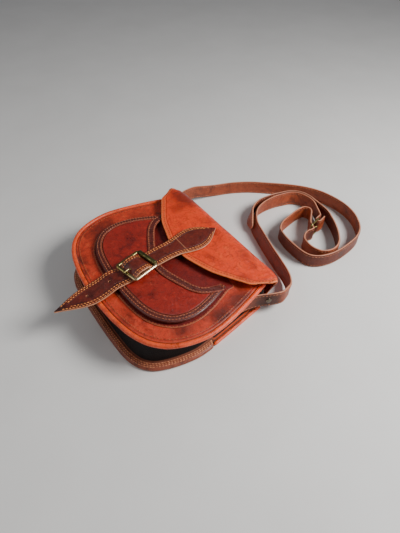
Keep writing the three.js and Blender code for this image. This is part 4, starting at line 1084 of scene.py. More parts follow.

# %% [markdown]
# ## The shoulder strap
#
# A long band stands on its edge on the table. One side runs from the right rivet to the buckle and folds
# back round its bar. The other runs from the left rivet, makes the big loop, goes through the buckle and
# ends in a point. A cloth simulation could drop the strap on the table, but never along the photograph's
# loop. So its route is a list of given places, with a smooth curve through them.
#
# A place holds five shares: how far it lies across the bag, how far past the fold, how much it still hangs
# at the rivet's height, how much the strap leans there, and how much the buckle's ring lifts it.

# %% Strap routes
STRAP_WIDTH = 22.0
STRAP_REACH = 230.0      # how far past the fold the loop reaches
STRAP_WIRE = 3.0
STRAP_BUCKLE = 25.0      # length of the strap's buckle
ANCHOR_HEIGHT = 26.0     # of the rivets above the table
HANG = ANCHOR_HEIGHT - STRAP_WIDTH / 2
RING = STRAP_WIRE + 2 * SEAM
SHORT_ROUTE = [
    (0.841, -0.026, 1.00), (0.868, 0.002, 1.00), (0.895, 0.035, 1.00),
    (0.912, 0.075, 0.95), (0.880, 0.125, 0.75, 0.04), (0.827, 0.172, 0.40, 0.10),
    (0.700, 0.216, 0.12, 0.22), (0.510, 0.250, 0, 0.30), (0.329, 0.277, 0, 0.32),
    (0.026, 0.329, 0, 0.34), (-0.135, 0.361, 0, 0.34), (-0.262, 0.413, 0, 0.32),
    (-0.329, 0.478, 0, 0.18), (-0.357, 0.557, 0, 0.05), (-0.345, 0.652, 0, -0.09),
    (-0.314, 0.717, 0, -0.18), (-0.275, 0.778, 0, -0.22), (-0.213, 0.813, 0, -0.20),
    (-0.124, 0.830, 0, -0.14, 0.15), (-0.019, 0.830, 0, -0.07, 0.40), (0.116, 0.798, 0, 0, 0.70),
    (0.214, 0.766, 0, 0, 0.95)]
LONG_ROUTE = [
    (-0.841, -0.026, 1.00), (-0.868, 0.002, 1.00), (-0.895, 0.035, 1.00),
    (-0.925, 0.075, 1.00), (-0.960, 0.140, 0.98), (-0.990, 0.230, 0.72),
    (-0.990, 0.315, 0.30), (-0.960, 0.400, 0.06), (-0.895, 0.505),
    (-0.765, 0.630), (-0.605, 0.735), (-0.450, 0.830),
    (-0.300, 0.904), (-0.125, 0.961), (0.070, 0.988),
    (0.245, 0.993), (0.403, 0.974), (0.535, 0.935),
    (0.640, 0.885), (0.710, 0.815), (0.746, 0.715),
    (0.756, 0.630), (0.742, 0.555), (0.700, 0.490),
    (0.635, 0.450), (0.535, 0.434), (0.390, 0.434),
    (0.245, 0.444), (0.125, 0.468), (0.058, 0.520),
    (0.018, 0.600), (-0.008, 0.683), (0.002, 0.738, 0, 0, 0.3),
    (0.058, 0.757, 0, 0, 0.5), (0.112, 0.746, 0, 0, 0.7)]
TAIL_ROUTE = [
    (0.352, 0.566, 0, 0, 0.40), (0.392, 0.533), (0.457, 0.517),
    (0.555, 0.513), (0.650, 0.532), (0.698, 0.575),
    (0.704, 0.622), (0.664, 0.678), (0.575, 0.730),
    (0.465, 0.775), (0.325, 0.818), (0.190, 0.848)]
print("route places", len(SHORT_ROUTE), len(LONG_ROUTE), len(TAIL_ROUTE))

# %% [markdown]
# The long side passes through the buckle at a slant, and its tail then lies against the short side. A
# place in the buckle holds shares of its length, ahead of its heel bar and to the right of it. The tail
# could have a route of its own, but it would soon cut through the short side. So each of its places is the
# number of a place on that side and how much clear space it adds there, in two strap thicknesses.

# %% Through the buckle
THROUGH_BUCKLE = [(-0.20, 0.60), (0.10, 0.45), (0.45, 0.27), (0.68, 0.04), (0.84, -0.15), (0.98, -0.16),
                  (1.17, -0.06)]
TAIL_CLEAR = [(19, 0.0), (18, 0.0), (17, 0.0), (16, 0.0), (15, 0.1), (14, 0.4), (13, 0.9), (12, 0.8),
              (11, 0.4), (10, 0.2)]
TAIL_GAP = 0.9           # least gap between the tail and the short side


def route_point(along, past, hang=0.0, lean=0.0, ring=0.0):
    """A place's x, y, level and lean."""
    return [along * FRONT_HALF, FOLD_Y + past * STRAP_REACH, HANG * hang + RING * ring, lean]


heel = np.array(route_point(0.283, 0.713)[:2])
ahead = np.array(route_point(0.330, 0.620)[:2]) - heel
ahead /= np.linalg.norm(ahead)


def beside_buckle(forward, aside, lift=RING):
    """A place ahead of the buckle's heel bar and to the right of it."""
    x, y = heel + ahead * forward + np.array([ahead[1], -ahead[0]]) * aside
    return [x, y, lift, 0.0]


def anchor_route(side):
    """The riveted end follows the outside of the gusset's flared wall."""
    out = GUSSET / 2 + SEAM + STRAP / 2 + 0.5
    points = []
    for k in (4, 3, 2, 1):
        i = (COARSE - k if side > 0 else k) * STATIONS // COARSE
        reach_x = max(side * gusset_rows[i, r, 0] for r in WALL_ROWS)
        points.append([side * (reach_x + out), gusset_rows[i, WALL_ROWS[1], 1], HANG, 0.0])
    return points


def fine_line(points, step=2.4):
    """A smooth line through the places, in even steps, which never sinks into the table."""
    points = np.array(points, float)
    rough = spline(points, np.linspace(0, 1, 400), by=2)
    run = lengths(rough[:, :2])[-1]
    line = spline(points, spaced(run, step, STRAP / 2), by=2)
    line[:, 2] = np.maximum(line[:, 2], 0)
    return line


print("heel bar at", heel.round(1))

# %% [markdown]
# With these helpers each side is one list of places, from its rivet to its end. The curve goes through the
# whole list at once, so it has no corner where one part meets the next.

# %% Strap lines
FOLD_TURNS = (-1.5, -0.8, 0, 0.8, 1.5)      # angles round the heel bar
FOLD_BACK = -12          # where the fold begins and ends, behind the heel bar
fold_radius = STRAP_WIRE / 2 + SEAM + STRAP / 2 + 0.3
anchor = anchor_route(1)
short_points = anchor + [route_point(*row) for row in SHORT_ROUTE]
short_points += [beside_buckle(FOLD_BACK, fold_radius)]
short_points += [beside_buckle(fold_radius * math.cos(t), -fold_radius * math.sin(t)) for t in FOLD_TURNS]
short_points += [beside_buckle(FOLD_BACK, -fold_radius)]

tail_points = []
for station, clear in TAIL_CLEAR:
    before, centre, after = [np.array(short_points[len(anchor) + station + d]) for d in (-1, 0, 1)]
    travel = after[:2] - before[:2]
    travel /= np.linalg.norm(travel)
    away = STRAP + TAIL_GAP + clear * STRAP * 2
    tail_points.append([centre[0] - travel[1] * away, centre[1] + travel[0] * away, centre[2], -centre[3]])
long_points = anchor_route(-1) + [route_point(*row) for row in LONG_ROUTE]
long_points += [beside_buckle(f * STRAP_BUCKLE, a * STRAP_BUCKLE) for f, a in THROUGH_BUCKLE]
long_points += [route_point(*row) for row in TAIL_ROUTE] + tail_points
short_line, long_line = fine_line(short_points), fine_line(long_points)
print("strap sides", round(lengths(short_line[:, :2])[-1]), round(lengths(long_line[:, :2])[-1]), "mm")

# %% [markdown]
# The band itself is the line drawn up to the strap's width. Its lean tips the upper edge sideways, and a
# soft bow keeps it from looking like sheet metal. An Array and a Curve modifier could bend a straight strap
# along the line, but they would stretch the stitches in its bends.


# %% Strap bands
def band_points(line, tip=0.0, seed=0.0):
    """A band's middle points along a line, and the direction to the right of its travel."""
    run = lengths(line[:, :2])
    along = np.gradient(line[:, :2], axis=0)
    along /= np.linalg.norm(along, axis=1, keepdims=True)
    right = np.stack([along[:, 1], -along[:, 0]], axis=1)
    taper = np.ones(len(line))
    if tip:
        taper = np.clip(0.12 + 0.88 * np.sqrt(np.clip((run[-1] - run) / tip, 0, 1)), 0, 1)
    lean = line[:, 3:4]
    upright = np.sqrt(1 - lean ** 2)
    levels = spaced(STRAP_WIDTH, 2.0, STRAP / 2)[None, :]
    level = (0.5 + (levels - 0.5) * taper[:, None]) * STRAP_WIDTH
    bow = STRAP_BOW * waver(line[:, :2], 30, seed)[:, None] * np.sin(levels * math.pi)
    shift = lean * level + bow
    z = line[:, 2:3] + np.abs(lean) * STRAP / 2 + upright * level
    x = line[:, 0:1] + right[:, 0:1] * shift
    y = line[:, 1:2] + right[:, 1:2] * shift
    return np.stack([x, y, z], axis=-1), right


STRAP_BOW = 0.35
STRAP_TIP = 1.1 * STRAP_WIDTH        # length of the point
short_grid, short_right = band_points(short_line, seed=1.0)
long_grid, long_right = band_points(long_line, tip=STRAP_TIP, seed=2.0)
keep(leather_sheet("shoulder_strap_short_side", short_grid, STRAP), "strap_leather", "shoulder_strap_short")
keep(leather_sheet("shoulder_strap_long_side", long_grid, STRAP), "strap_leather",
     "shoulder_strap_long", "shoulder_strap_loop", "shoulder_strap_tail")
print("bands", short_grid.shape, long_grid.shape)

# %% [markdown]
# The strap's own buckle is a plain bent wire that stands upright round the strap, with a prong of the same
# kind. Both are tubes, like the wire they are bent from.

# %% Strap buckle
buckle_mid = (STRAP_BUCKLE - STRAP_WIRE) / 2
tall = STRAP_WIDTH + 2 * SEAM + 2 * STRAP_WIRE
ring_line = loop_line(buckle_mid * 2, tall - STRAP_WIRE, CORNER)
ring_points = []
for up, forward in ring_line:
    x, y, _, _ = beside_buckle(forward + buckle_mid, 0)
    ring_points.append((x, y, RING + STRAP_WIDTH / 2 + up))
keep(tube("strap_buckle_ring", ring_points, STRAP_WIRE / 2, sides=18, closed=True,
          up=(ahead[1], -ahead[0], 0)), "aged_brass", "strap_buckle_frame")
hook = STRAP_WIRE / 2 + SEAM + PRONG / 2
far = buckle_mid * 2
TONGUE = [(-hook * 0.4, hook * 0.9), (-hook, 0), (-hook * 0.4, -hook * 0.9), (hook * 0.6, -hook * 0.8),
          (far * 0.3, -0.2), (far * 0.75, hook * 0.7), (far, hook), (far + 2.2, hook)]
tongue_flat = spline(TONGUE, np.linspace(0, 1, 50))
tongue_line = [beside_buckle(f, a)[:2] + [RING + STRAP_WIDTH / 2] for f, a in tongue_flat]
keep(tube("strap_buckle_tongue", tongue_line, PRONG / 2, sides=14), "aged_brass", "strap_buckle_prong")
print("strap buckle", round(tall, 1), "mm tall")

# %% [markdown]
# The strap's ends are riveted to the gusset. A rivet's head is a low dome with a short straight foot. Half
# of a squashed sphere would do, but a profile on the lathe also gives it the foot.

# %% Rivets
RIVET, DOME = 3.8, 1.8   # radius and height of a head
DOME_FOOT = 0.12         # share of the height that is straight
DOME_PROFILE = [(RIVET * math.cos(t), DOME * (DOME_FOOT + (1 - DOME_FOOT) * math.sin(t)))
                for t in np.linspace(0, math.pi / 2, 12)]
for name, line, right, side in (("right", short_line, short_right, 1), ("left", long_line, long_right, -1)):
    row = route_point(0.868, 0.002)
    i = int(np.argmin(np.hypot(line[:, 0] - side * row[0], line[:, 1] - row[1])))
    out = np.append(right[i] * side, 0)
    place = np.array([line[i, 0], line[i, 1], ANCHOR_HEIGHT]) + out * (STRAP / 2 - 0.1)
    keep(lathe("rivet_dome_" + name, [(RIVET, 0.0)] + DOME_PROFILE, place, out),
         "rivet_steel", "strap_rivet_" + name)
print("rivets set")

# %% [markdown]
# ## Stitches
#
# Thread shows as short, fat dashes that dip into the leather at both ends. A dashed texture would stay flat
# under a low light, and one object for each stitch would make thousands of them. So each stitch is a small
# mesh of rings along the thread, and all the stitches of a piece are joined. A ring holds its place along
# the stitch, its size and how far it lies above the leather.

# %% Stitch helpers
STITCH_RINGS = np.array([(-1.0, 0.35, -0.7), (-0.8, 0.8, -0.25), (-0.35, 1.0, 0.1), (0.35, 1.0, 0.1),
                         (0.8, 0.8, -0.25), (1.0, 0.35, -0.7)])
UP = (0.0, 0.0, 1.0)
rng = np.random.default_rng(11)


def stitch_row(line, up, pitch=4.0, length=3.2, radius=0.6, sides=6):
    """Vertices and faces of the stitches along one line on a surface."""
    line = np.asarray(line, float)
    run = lengths(line)
    up = np.broadcast_to(np.asarray(up, float), line.shape)
    count = max(1, int(run[-1] / pitch))
    at = (np.arange(count) + 0.5) * run[-1] / count

    def along_line(values, where):
        return np.stack([np.interp(where, run, column) for column in values.T], axis=1)

    middle = along_line(line, at)
    travel = along_line(line, at + 0.6) - along_line(line, at - 0.6)
    travel /= np.linalg.norm(travel, axis=1, keepdims=True)
    lift = along_line(up, at)
    lift /= np.linalg.norm(lift, axis=1, keepdims=True)
    aside = np.cross(travel, lift)
    askew = rng.normal(0, 0.05, (count, 1))
    travel = travel + aside * askew
    aside = np.cross(travel, lift)
    size = 1 + rng.normal(0, 0.06, (count, 1, 1, 1))
    turn = np.arange(sides) / sides * 2 * math.pi
    along, fat, dip = STITCH_RINGS.T[:, None, :, None, None]
    t = along * length / 2 * size
    r = fat * radius
    dip = dip * radius
    verts = (middle[:, None, None] + travel[:, None, None] * t
             + aside[:, None, None] * r * np.cos(turn)[None, None, :, None]
             + lift[:, None, None] * (r * 0.8 * np.sin(turn)[None, None, :, None] + dip))
    index = np.arange(len(STITCH_RINGS) * sides).reshape(-1, sides)
    quads = np.stack([index[:-1], np.roll(index[:-1], -1, 1), np.roll(index[1:], -1, 1), index[1:]], -1)
    faces = np.vstack([quads.reshape(-1, 4) + k * index.size for k in range(count)])
    return verts.reshape(-1, 3), faces


def thread(name, slot, rows, **how):
    """All the stitch rows of one piece as one mesh. A row is a line and its upward direction."""
    verts, faces, start = [], [], 0
    for line, up in rows:
        points, quads = stitch_row(line, up, **how)
        verts.append(points)
        faces.append(quads + start)
        start += len(points)
    keep(mesh_object(name, np.vstack(verts), np.vstack(faces)[:, ::-1].tolist()), slot)


def column_at(grid, distance, from_end=False):
    """The line that lies a distance in from the first or last column of a grid."""
    line = []
    for row in (grid[:, ::-1] if from_end else grid):
        line.append(np.array([np.interp(distance, lengths(row), axis) for axis in row.T]))
    return np.array(line)


def outer_face(grid, thickness):
    """The outer face of a sheet that was made with a side of -1."""
    return grid + grid_normals(grid, False, -1) * thickness / 2


print("a stitch has", len(STITCH_RINGS), "rings")

# %% [markdown]
# The rows are where the saddler's pricking wheel ran. On the front there is one just inside the roll and
# one round the pocket's margin. The pocket's border has two, its mouth two and the binding three, all in
# shorter stitches. Each row could be drawn by hand, but taken from the grid of its own sheet it stays at
# one distance from the edge, as the wheel did.

# %% Stitches on the front and its edges
seam_line = inset(front_u, FRONT_EDGE + 4.5)[2:-2]
front_rows = [(lifted(seam_line, lambda x, y: front_level(x, y) + 0.1), UP)]
thread("front_stitches", "tan_leather", front_rows)

margin_line = inset(pocket_u, -1.9)
margin_rows = [(lifted(margin_line, lambda x, y: pocket_back_face(x, y) + 0.05), UP)]
thread("pocket_margin_stitches", "tan_leather", margin_rows)

border_outer = outer_face(border_grid, TRIM)
thread("border_stitches", "brown_leather",
       [(column_at(border_outer, d), UP) for d in (1.8, 5.6)], pitch=3.8, length=3.0, radius=0.5)

trim_outer = outer_face(trim_grid, TRIM)
thread("mouth_trim_stitches", "brown_leather",
       [(column_at(trim_outer, 1.7, end)[3:-7], UP) for end in (False, True)],
       pitch=3.8, length=3.0, radius=0.5)

binding_outer = outer_face(binding_grid, TRIM)
thread("binding_stitches", "brown_leather",
       [(column_at(binding_outer, d), UP) for d in (1.4, 3.6, 5.8)], pitch=3.6, length=2.8, radius=0.5)
print("stitched so far", [name for name in pieces if name.endswith("stitches")])

# %% [markdown]
# The flap's row runs up one side, along the cut edge and down the other side. It is put together from three
# lines of the flap's own grid, each cut short where it would cross the next.

# %% Stitches on the flap
FLAP_MARGIN = 4.6        # from the cut edge to the row
flap_outer = outer_face(flap_grid, PANEL)
flap_across = flap_outer.transpose(1, 0, 2)
flap_front = column_at(flap_outer, FLAP_MARGIN, from_end=True)
flap_left = column_at(flap_across, FLAP_MARGIN)
flap_right = column_at(flap_across, FLAP_MARGIN, from_end=True)


def upper_part(line):
    """The part of a flap's side that is on the outside of the roll and above the front edge's row."""
    shown = (line[:, 2] > FLAP_FACE - 24) & (np.arange(len(line)) > 12)
    return line[shown][:-4]


flap_row = np.vstack([upper_part(flap_left), flap_front[4:-4], upper_part(flap_right)[::-1]])
thread("flap_stitches", "tan_leather", [(flap_row, UP)])
print("flap row", round(lengths(flap_row)[-1]), "mm")

# %% [markdown]
# The closing strap has two rows down each side, and they stop before its point. The shoulder strap has one
# near each edge, on both of its faces, because both faces show in its loop.

# %% Stitches on the straps
closure_outer = closure_grid + np.array([0, 0, CLOSURE / 2])
strap_rows = []
for edge_distance, first, last in ((2.2, 8, -9), (5.0, 11, -14)):
    for from_end in (False, True):
        line = column_at(closure_outer, edge_distance, from_end)
        strap_rows.append((line[first:last], UP))
thread("closing_strap_stitches", "brown_leather", strap_rows, pitch=3.8, length=3.0, radius=0.58)


STRAP_MARGIN = 2.6       # from an edge of the shoulder strap to its row
STRAP_SKIP = 6           # stations without stitches at both ends


def side_rows(grid, right, side):
    """The two rows on one face of a band, which is its right face or, with a side of -1, its left."""
    up = np.concatenate([right * side, np.zeros((len(right), 1))], 1)
    surface = grid + up[:, None] * STRAP / 2
    inner = slice(STRAP_SKIP, -STRAP_SKIP)
    return [(column_at(surface, level)[inner], up[inner])
            for level in (STRAP_MARGIN, STRAP_WIDTH - STRAP_MARGIN)]


band_rows = []
for side in (1, -1):
    band_rows += side_rows(short_grid, short_right, side) + side_rows(long_grid, long_right, side)
thread("strap_stitches", "strap_leather", band_rows, pitch=4.4, length=3.1, radius=0.5, sides=5)
print("pieces, with stitches", len(pieces))

# %% [markdown]
# ## Shader helpers
#
# Colours are easiest to judge on a screen, so they are written here as a screen shows them. Shaders count
# light instead, so each colour is turned into its linear values.


# %% Colours
def linear(red, green, blue):
    """A screen colour, 0 to 255, as the linear colour that shaders use."""
    def channel(v):
        v /= 255
        return v / 12.92 if v <= 0.04045 else ((v + 0.055) / 1.055) ** 2.4

    return (channel(red), channel(green), channel(blue), 1.0)


print("middle grey is", round(linear(128, 128, 128)[0], 3))

# %% [markdown]
# A finish is a tree of nodes. It could be drawn in the shader editor, but a script can be run again and
# read line by line. `Tree` adds nodes by type, sets their inputs by name, and joins a socket wherever a
# value could stand, so that one line makes one node.


# %% Node tree
class Tree:
    """A node tree, with one short call for each kind of node."""

    def __init__(self, tree):
        self.tree = tree

    def add(self, kind, inputs=None, **settings):
        node = self.tree.nodes.new(kind)
        for key, value in settings.items():
            setattr(node, key, value)
        for key, value in (inputs or {}).items():
            self.join(value, node.inputs[key])
        return node

    def join(self, value, socket):
        if isinstance(value, bpy.types.NodeSocket):
            self.tree.links.new(value, socket)
        else:
            socket.default_value = value

    def math(self, operation, a, b=0.0, c=0.0, clamp=False):
        node = self.add("ShaderNodeMath", operation=operation, use_clamp=clamp)
        for value, socket in zip((a, b, c), node.inputs):
            self.join(value, socket)
        return node.outputs[0]

    def blend(self, share, a, b, how="MIX"):
        node = self.add("ShaderNodeMix", data_type="RGBA", blend_type=how, clamp_factor=True)
        self.join(share, node.inputs[0])
        self.join(a, node.inputs[6])
        self.join(b, node.inputs[7])
        return node.outputs[2]

    def ramp(self, value, low, high, to_low=0.0, to_high=1.0):
        values = {"Value": value, "From Min": low, "From Max": high, "To Min": to_low, "To Max": to_high}
        node = self.add("ShaderNodeMapRange", values, interpolation_type="SMOOTHSTEP", clamp=True)
        return node.outputs["Result"]

    def place(self):
        return self.add("ShaderNodeTexCoord").outputs["Object"]

    def toward_fold(self):
        """How far a place lies from the bag's middle towards its fold."""
        return self.add("ShaderNodeSeparateXYZ", {"Vector": self.place()}).outputs["Y"]

    def noise(self, scale, detail=4.0, roughness=0.55, distortion=0.0):
        node = self.add("ShaderNodeTexNoise", {"Vector": self.place(), "Scale": scale, "Detail": detail,
                                               "Roughness": roughness, "Distortion": distortion})
        return node.outputs["Fac"]

    def vector(self, operation, *values):
        return self.add("ShaderNodeVectorMath", dict(enumerate(values)), operation=operation)

    def distance(self, a, b):
        """How far two numbers are apart."""
        return self.math("ABSOLUTE", self.math("SUBTRACT", a, b))

    def bump(self, height, strength, depth):
        """The normal of small bumps, some millimetres deep."""
        values = {"Height": height, "Strength": strength, "Distance": depth * MM}
        return self.add("ShaderNodeBump", values).outputs["Normal"]

    def attribute(self, name):
        return self.add("ShaderNodeAttribute", attribute_name=name).outputs["Fac"]

    def group(self, group, **inputs):
        node = self.add("ShaderNodeGroup", node_tree=group)
        for key, value in inputs.items():
            self.join(value, node.inputs[key.replace("_", " ")])
        return node


print("short calls:", [name for name in vars(Tree) if not name.startswith("_")])

# %% [markdown]
# Two more helpers open a tree to work in: one in a node group, with named sockets at both of its ends, and
# one in a material.


# %% Groups and finishes
def new_group(name, inputs, outputs):
    """An empty node group. Inputs and outputs are (name, kind, value) rows."""
    group = bpy.data.node_groups.new(name, "ShaderNodeTree")
    for label, kind, value in inputs:
        socket = group.interface.new_socket(label, in_out="INPUT", socket_type="NodeSocket" + kind)
        socket.default_value = value
    for label, kind in outputs:
        group.interface.new_socket(label, in_out="OUTPUT", socket_type="NodeSocket" + kind)
    tree = Tree(group)
    tree.enter = group.nodes.new("NodeGroupInput")
    tree.leave = group.nodes.new("NodeGroupOutput")
    return group, tree


def new_finish(name):
    """A material, its tree and its one shader."""
    material = bpy.data.materials.new(name)
    material.use_nodes = True
    return material, Tree(material.node_tree), material.node_tree.nodes["Principled BSDF"]


print("helpers for groups and finishes ready")

# %% [markdown]
# ## Effects that several finishes share
#
# Each effect that more than one finish needs is a node group, built once and placed with its own values.
# The first is the grain of the hide: small cells with soft valleys, a few longer creases, and a fine tooth.
# Noise alone would look like plaster, because only cells give the pebbled look of leather.

# %% Hide grain
grain_group, t = new_group("hide grain", [("Pebble size", "Float", 1.0), ("Creases", "Float", 0.5)],
                           [("Height", "Float")])
pebbles_in_metre = t.math("DIVIDE", 1 / MM, t.enter.outputs[0])
cells = t.add("ShaderNodeTexVoronoi", {"Vector": t.place(), "Scale": pebbles_in_metre, "Randomness": 0.9},
              feature="DISTANCE_TO_EDGE")
pebble = t.ramp(cells.outputs["Distance"], 0.0, 0.3)
crease = t.ramp(t.noise(150.0, 6.0, 0.6, distortion=1.2), 0.35, 0.65)
fine = t.noise(2600.0, 3.0, 0.7)
height = t.math("MULTIPLY_ADD", crease, t.enter.outputs[1], t.math("MULTIPLY", pebble, 0.6))
t.join(t.math("MULTIPLY_ADD", fine, 0.35, height), t.leave.inputs[0])
print("made", grain_group.name)

# %% [markdown]
# Dye takes unevenly. It pools in broad dark patches with lighter places between them, in small specks, and
# along the fine veins that the animal had in its skin. One noise would give clouds of one size, so four
# are laid over each other, all measured in the size of the broad patches.

# %% Uneven dye
mottle_group, t = new_group("uneven dye", [
    ("Base", "Color", (0.5, 0.2, 0.1, 1)), ("Dark", "Color", (0.1, 0.03, 0.02, 1)),
    ("Light", "Color", (0.8, 0.4, 0.2, 1)), ("Patch size", "Float", 30.0),
    ("Darkness", "Float", 0.6), ("Lightness", "Float", 0.4)],
    [("Color", "Color"), ("Dark mask", "Float")])
base, deep, pale, patch_size, darkness, lightness = list(t.enter.outputs)[:6]
scale = t.math("DIVIDE", 1 / MM, patch_size)
broad = t.noise(scale, 5.0, 0.62, distortion=0.6)
close = t.noise(t.math("MULTIPLY", scale, 4.3), 4.0, 0.6)
speck = t.noise(t.math("MULTIPLY", scale, 22.0), 3.0, 0.65)
veins = t.noise(t.math("MULTIPLY", scale, 1.7), 6.0, 0.6, distortion=1.0)
dark = t.math("MULTIPLY", t.ramp(broad, 0.50, 0.72), darkness)
dark = t.math("MULTIPLY", dark, t.ramp(close, 0.25, 0.6, 0.55, 1.0))
light = t.math("MULTIPLY", t.ramp(close, 0.48, 0.75), lightness)
body = t.blend(light, base, pale)
body = t.blend(dark, body, deep)
body = t.blend(t.ramp(speck, 0.55, 0.8, 0.0, 0.22), body, deep)
body = t.blend(t.ramp(t.distance(veins, 0.5), 0.0, 0.028, 0.4, 0.0), body, deep)
t.join(body, t.leave.inputs[0])
t.join(dark, t.leave.inputs[1])
print("made", mottle_group.name)

# %% [markdown]
# Two effects belong to an edge. Handling rubs the dye off it in a ragged band, and a hot iron leaves a dark
# tooled line beside it. A shader could look for sharp corners, but these edges are round, and it would
# find folds too. Both groups read the distance that each point remembers instead.

# %% Rubbed edge and tooled line
rim_group, t = new_group("rubbed edge", [("Width", "Float", 1.0), ("Raggedness", "Float", 0.5)],
                         [("Mask", "Float")])
ragged = t.math("MULTIPLY", t.math("SUBTRACT", t.noise(260.0, 4.0), 0.5), t.enter.outputs[1])
reach_in = t.math("MULTIPLY_ADD", ragged, t.enter.outputs[0], t.enter.outputs[0])
mask = t.ramp(t.attribute("rim"), t.math("MULTIPLY", reach_in, 0.55), reach_in, 1.0, 0.0)
t.join(mask, t.leave.inputs[0])

line_group, t = new_group("tooled line", [("Distance", "Float", 5.0), ("Width", "Float", 0.8)],
                          [("Mask", "Float")])
mask = t.ramp(t.distance(t.attribute("rim"), t.enter.outputs[0]), 0.0, t.enter.outputs[1], 1.0, 0.0)
t.join(mask, t.leave.inputs[0])
print("made", rim_group.name, "and", line_group.name)

# %% [markdown]
# Sweat and rain leave stains in some places and not in others. Noise would put them anywhere, so a stain
# has a place on the bag and a reach, and only its outline is left to noise. The same group places painted
# light too: the painted shade round the shoulder strap's rivets and the painted highlight on a buckle's
# bar.

# %% Stain
stain_shade_and_highlight_group, t = new_group("stain", [("Place", "Vector", (0, 0, 0)), ("Reach", "Float", 20.0)],
                           [("Mask", "Float")])
gap = t.vector("SUBTRACT", t.place(), t.enter.outputs[0]).outputs[0]
distance = t.vector("LENGTH", gap).outputs["Value"]
share = t.math("DIVIDE", t.math("MULTIPLY", distance, 1 / MM), t.enter.outputs[1])
edge = t.math("MULTIPLY_ADD", t.math("SUBTRACT", t.noise(60.0, 5.0, 0.6), 0.5), 1.1, share)
t.join(t.ramp(edge, 0.25, 1.0, 1.0, 0.0), t.leave.inputs[0])
print("groups", [g.name for g in bpy.data.node_groups])

# %% [markdown]
# ## Leather
#
# All the leather has the same history: it's dyed, stained, tooled and rubbed. A photograph of leather could
# be laid over it, but it would show one and the same hide everywhere. One function lays the shared effects
# over each other in that order instead, and each piece gets its own colours and amounts.
#
# A rim band is a margin of another colour. A foot is a strip of another colour at a sheet's first column,
# which changes its breadth and colour at a place. A face tints the inner face, and a seam is a dark line.


# %% Leather finish
def leather(name, base, dark, light, edge, rough=0.5, pebble=1.1, creases=0.6, depth=0.25, patch=30.0,
            darkness=0.6, lightness=0.4, edge_width=1.3, tooled=(), stains_and_shade=(), rim_band=None, foot=None,
            face=None, seam_at=None, coat=0.12):
    """A leather. Widths, depths, places and the pebble's size are in millimetres."""
    material, t, shader = new_finish(name)
    base, dark, light, edge = [linear(*colour) for colour in (base, dark, light, edge)]
    dye = t.group(mottle_group, Base=base, Dark=dark, Light=light, Patch_size=patch, Darkness=darkness,
                  Lightness=lightness)
    colour, worn = dye.outputs["Color"], dye.outputs["Dark mask"]
    if rim_band:
        width, tint, strength = rim_band
        band = t.ramp(t.attribute("rim"), width - 1.0, width + 0.6, strength, 0.0)
        colour = t.blend(band, colour, linear(*tint))
    if foot:
        low_width, low_tint, side_width, side_tint, change = foot
        beside = t.ramp(t.toward_fold(), (change - 2) * MM, (change + 2) * MM)
        tint = t.blend(beside, linear(*low_tint), linear(*side_tint))
        width = t.math("MULTIPLY_ADD", beside, side_width - low_width, low_width)
        near = t.ramp(t.attribute("reach"), width, t.math("ADD", width, 1.5), 0.95, 0.0)
        colour = t.blend(near, colour, tint)
    if face:
        inside = t.ramp(t.attribute("face"), 0.35, 0.65, 0.9, 0.0)
        colour = t.blend(inside, colour, linear(*face), "MULTIPLY")
    if seam_at:
        away = t.distance(t.toward_fold(), seam_at * MM)
        colour = t.blend(t.ramp(away, 0.2 * MM, 0.7 * MM, 0.6, 0.0), colour, edge)
    # Stains, and the painted shade round the shoulder strap's rivets, darken towards the dark colour.
    for place, reach, strength in stains_and_shade:
        spot = t.group(stain_shade_and_highlight_group, Place=[v * MM for v in place], Reach=reach).outputs[0]
        colour = t.blend(t.math("MULTIPLY", spot, strength), colour, dark)
    grooves = 0.0
    for distance, width in tooled:
        mark = t.group(line_group, Distance=distance, Width=width).outputs[0]
        colour = t.blend(t.math("MULTIPLY", mark, 0.55), colour, dark)
        grooves = t.math("ADD", mark, grooves)
    rubbed = t.group(rim_group, Width=edge_width, Raggedness=0.7).outputs[0]
    colour = t.blend(t.math("MULTIPLY", rubbed, 0.85), colour, edge)
    grain = t.group(grain_group, Pebble_size=pebble, Creases=creases).outputs[0]
    valley = t.ramp(grain, 0.2, 0.9, 0.25, 0.0)
    colour = t.blend(valley, colour, dark)
    t.join(colour, shader.inputs["Base Color"])
    shine = t.math("MULTIPLY_ADD", worn, -0.12, rough)
    t.join(t.math("MULTIPLY_ADD", t.noise(90.0, 4.0), 0.16, t.math("SUBTRACT", shine, 0.08)),
           shader.inputs["Roughness"])
    relief = t.math("MULTIPLY_ADD", grooves, -1.6, grain) if tooled else grain
    t.join(t.bump(relief, 0.9, depth), shader.inputs["Normal"])
    shader.inputs["Coat Weight"].default_value = coat
    shader.inputs["Coat Roughness"].default_value = 0.35
    shader.inputs["Specular IOR Level"].default_value = 0.35
    return material


def dress(material, *names):
    """Gives pieces their finish."""
    for name in names:
        mesh = pieces[name].data
        mesh.materials.clear()
        mesh.materials.append(material)


print("leather ready, in the colours that follow")

# %% [markdown]
# The flap, the front and the back are one orange-tan hide. The flap shows it freshest. The front is darker
# where hands and rain reach it, at its left side and its right one, and those are stains with a place. The
# rolled strips are the same hide, thin and light, and the back is duller, since it never saw the sun.

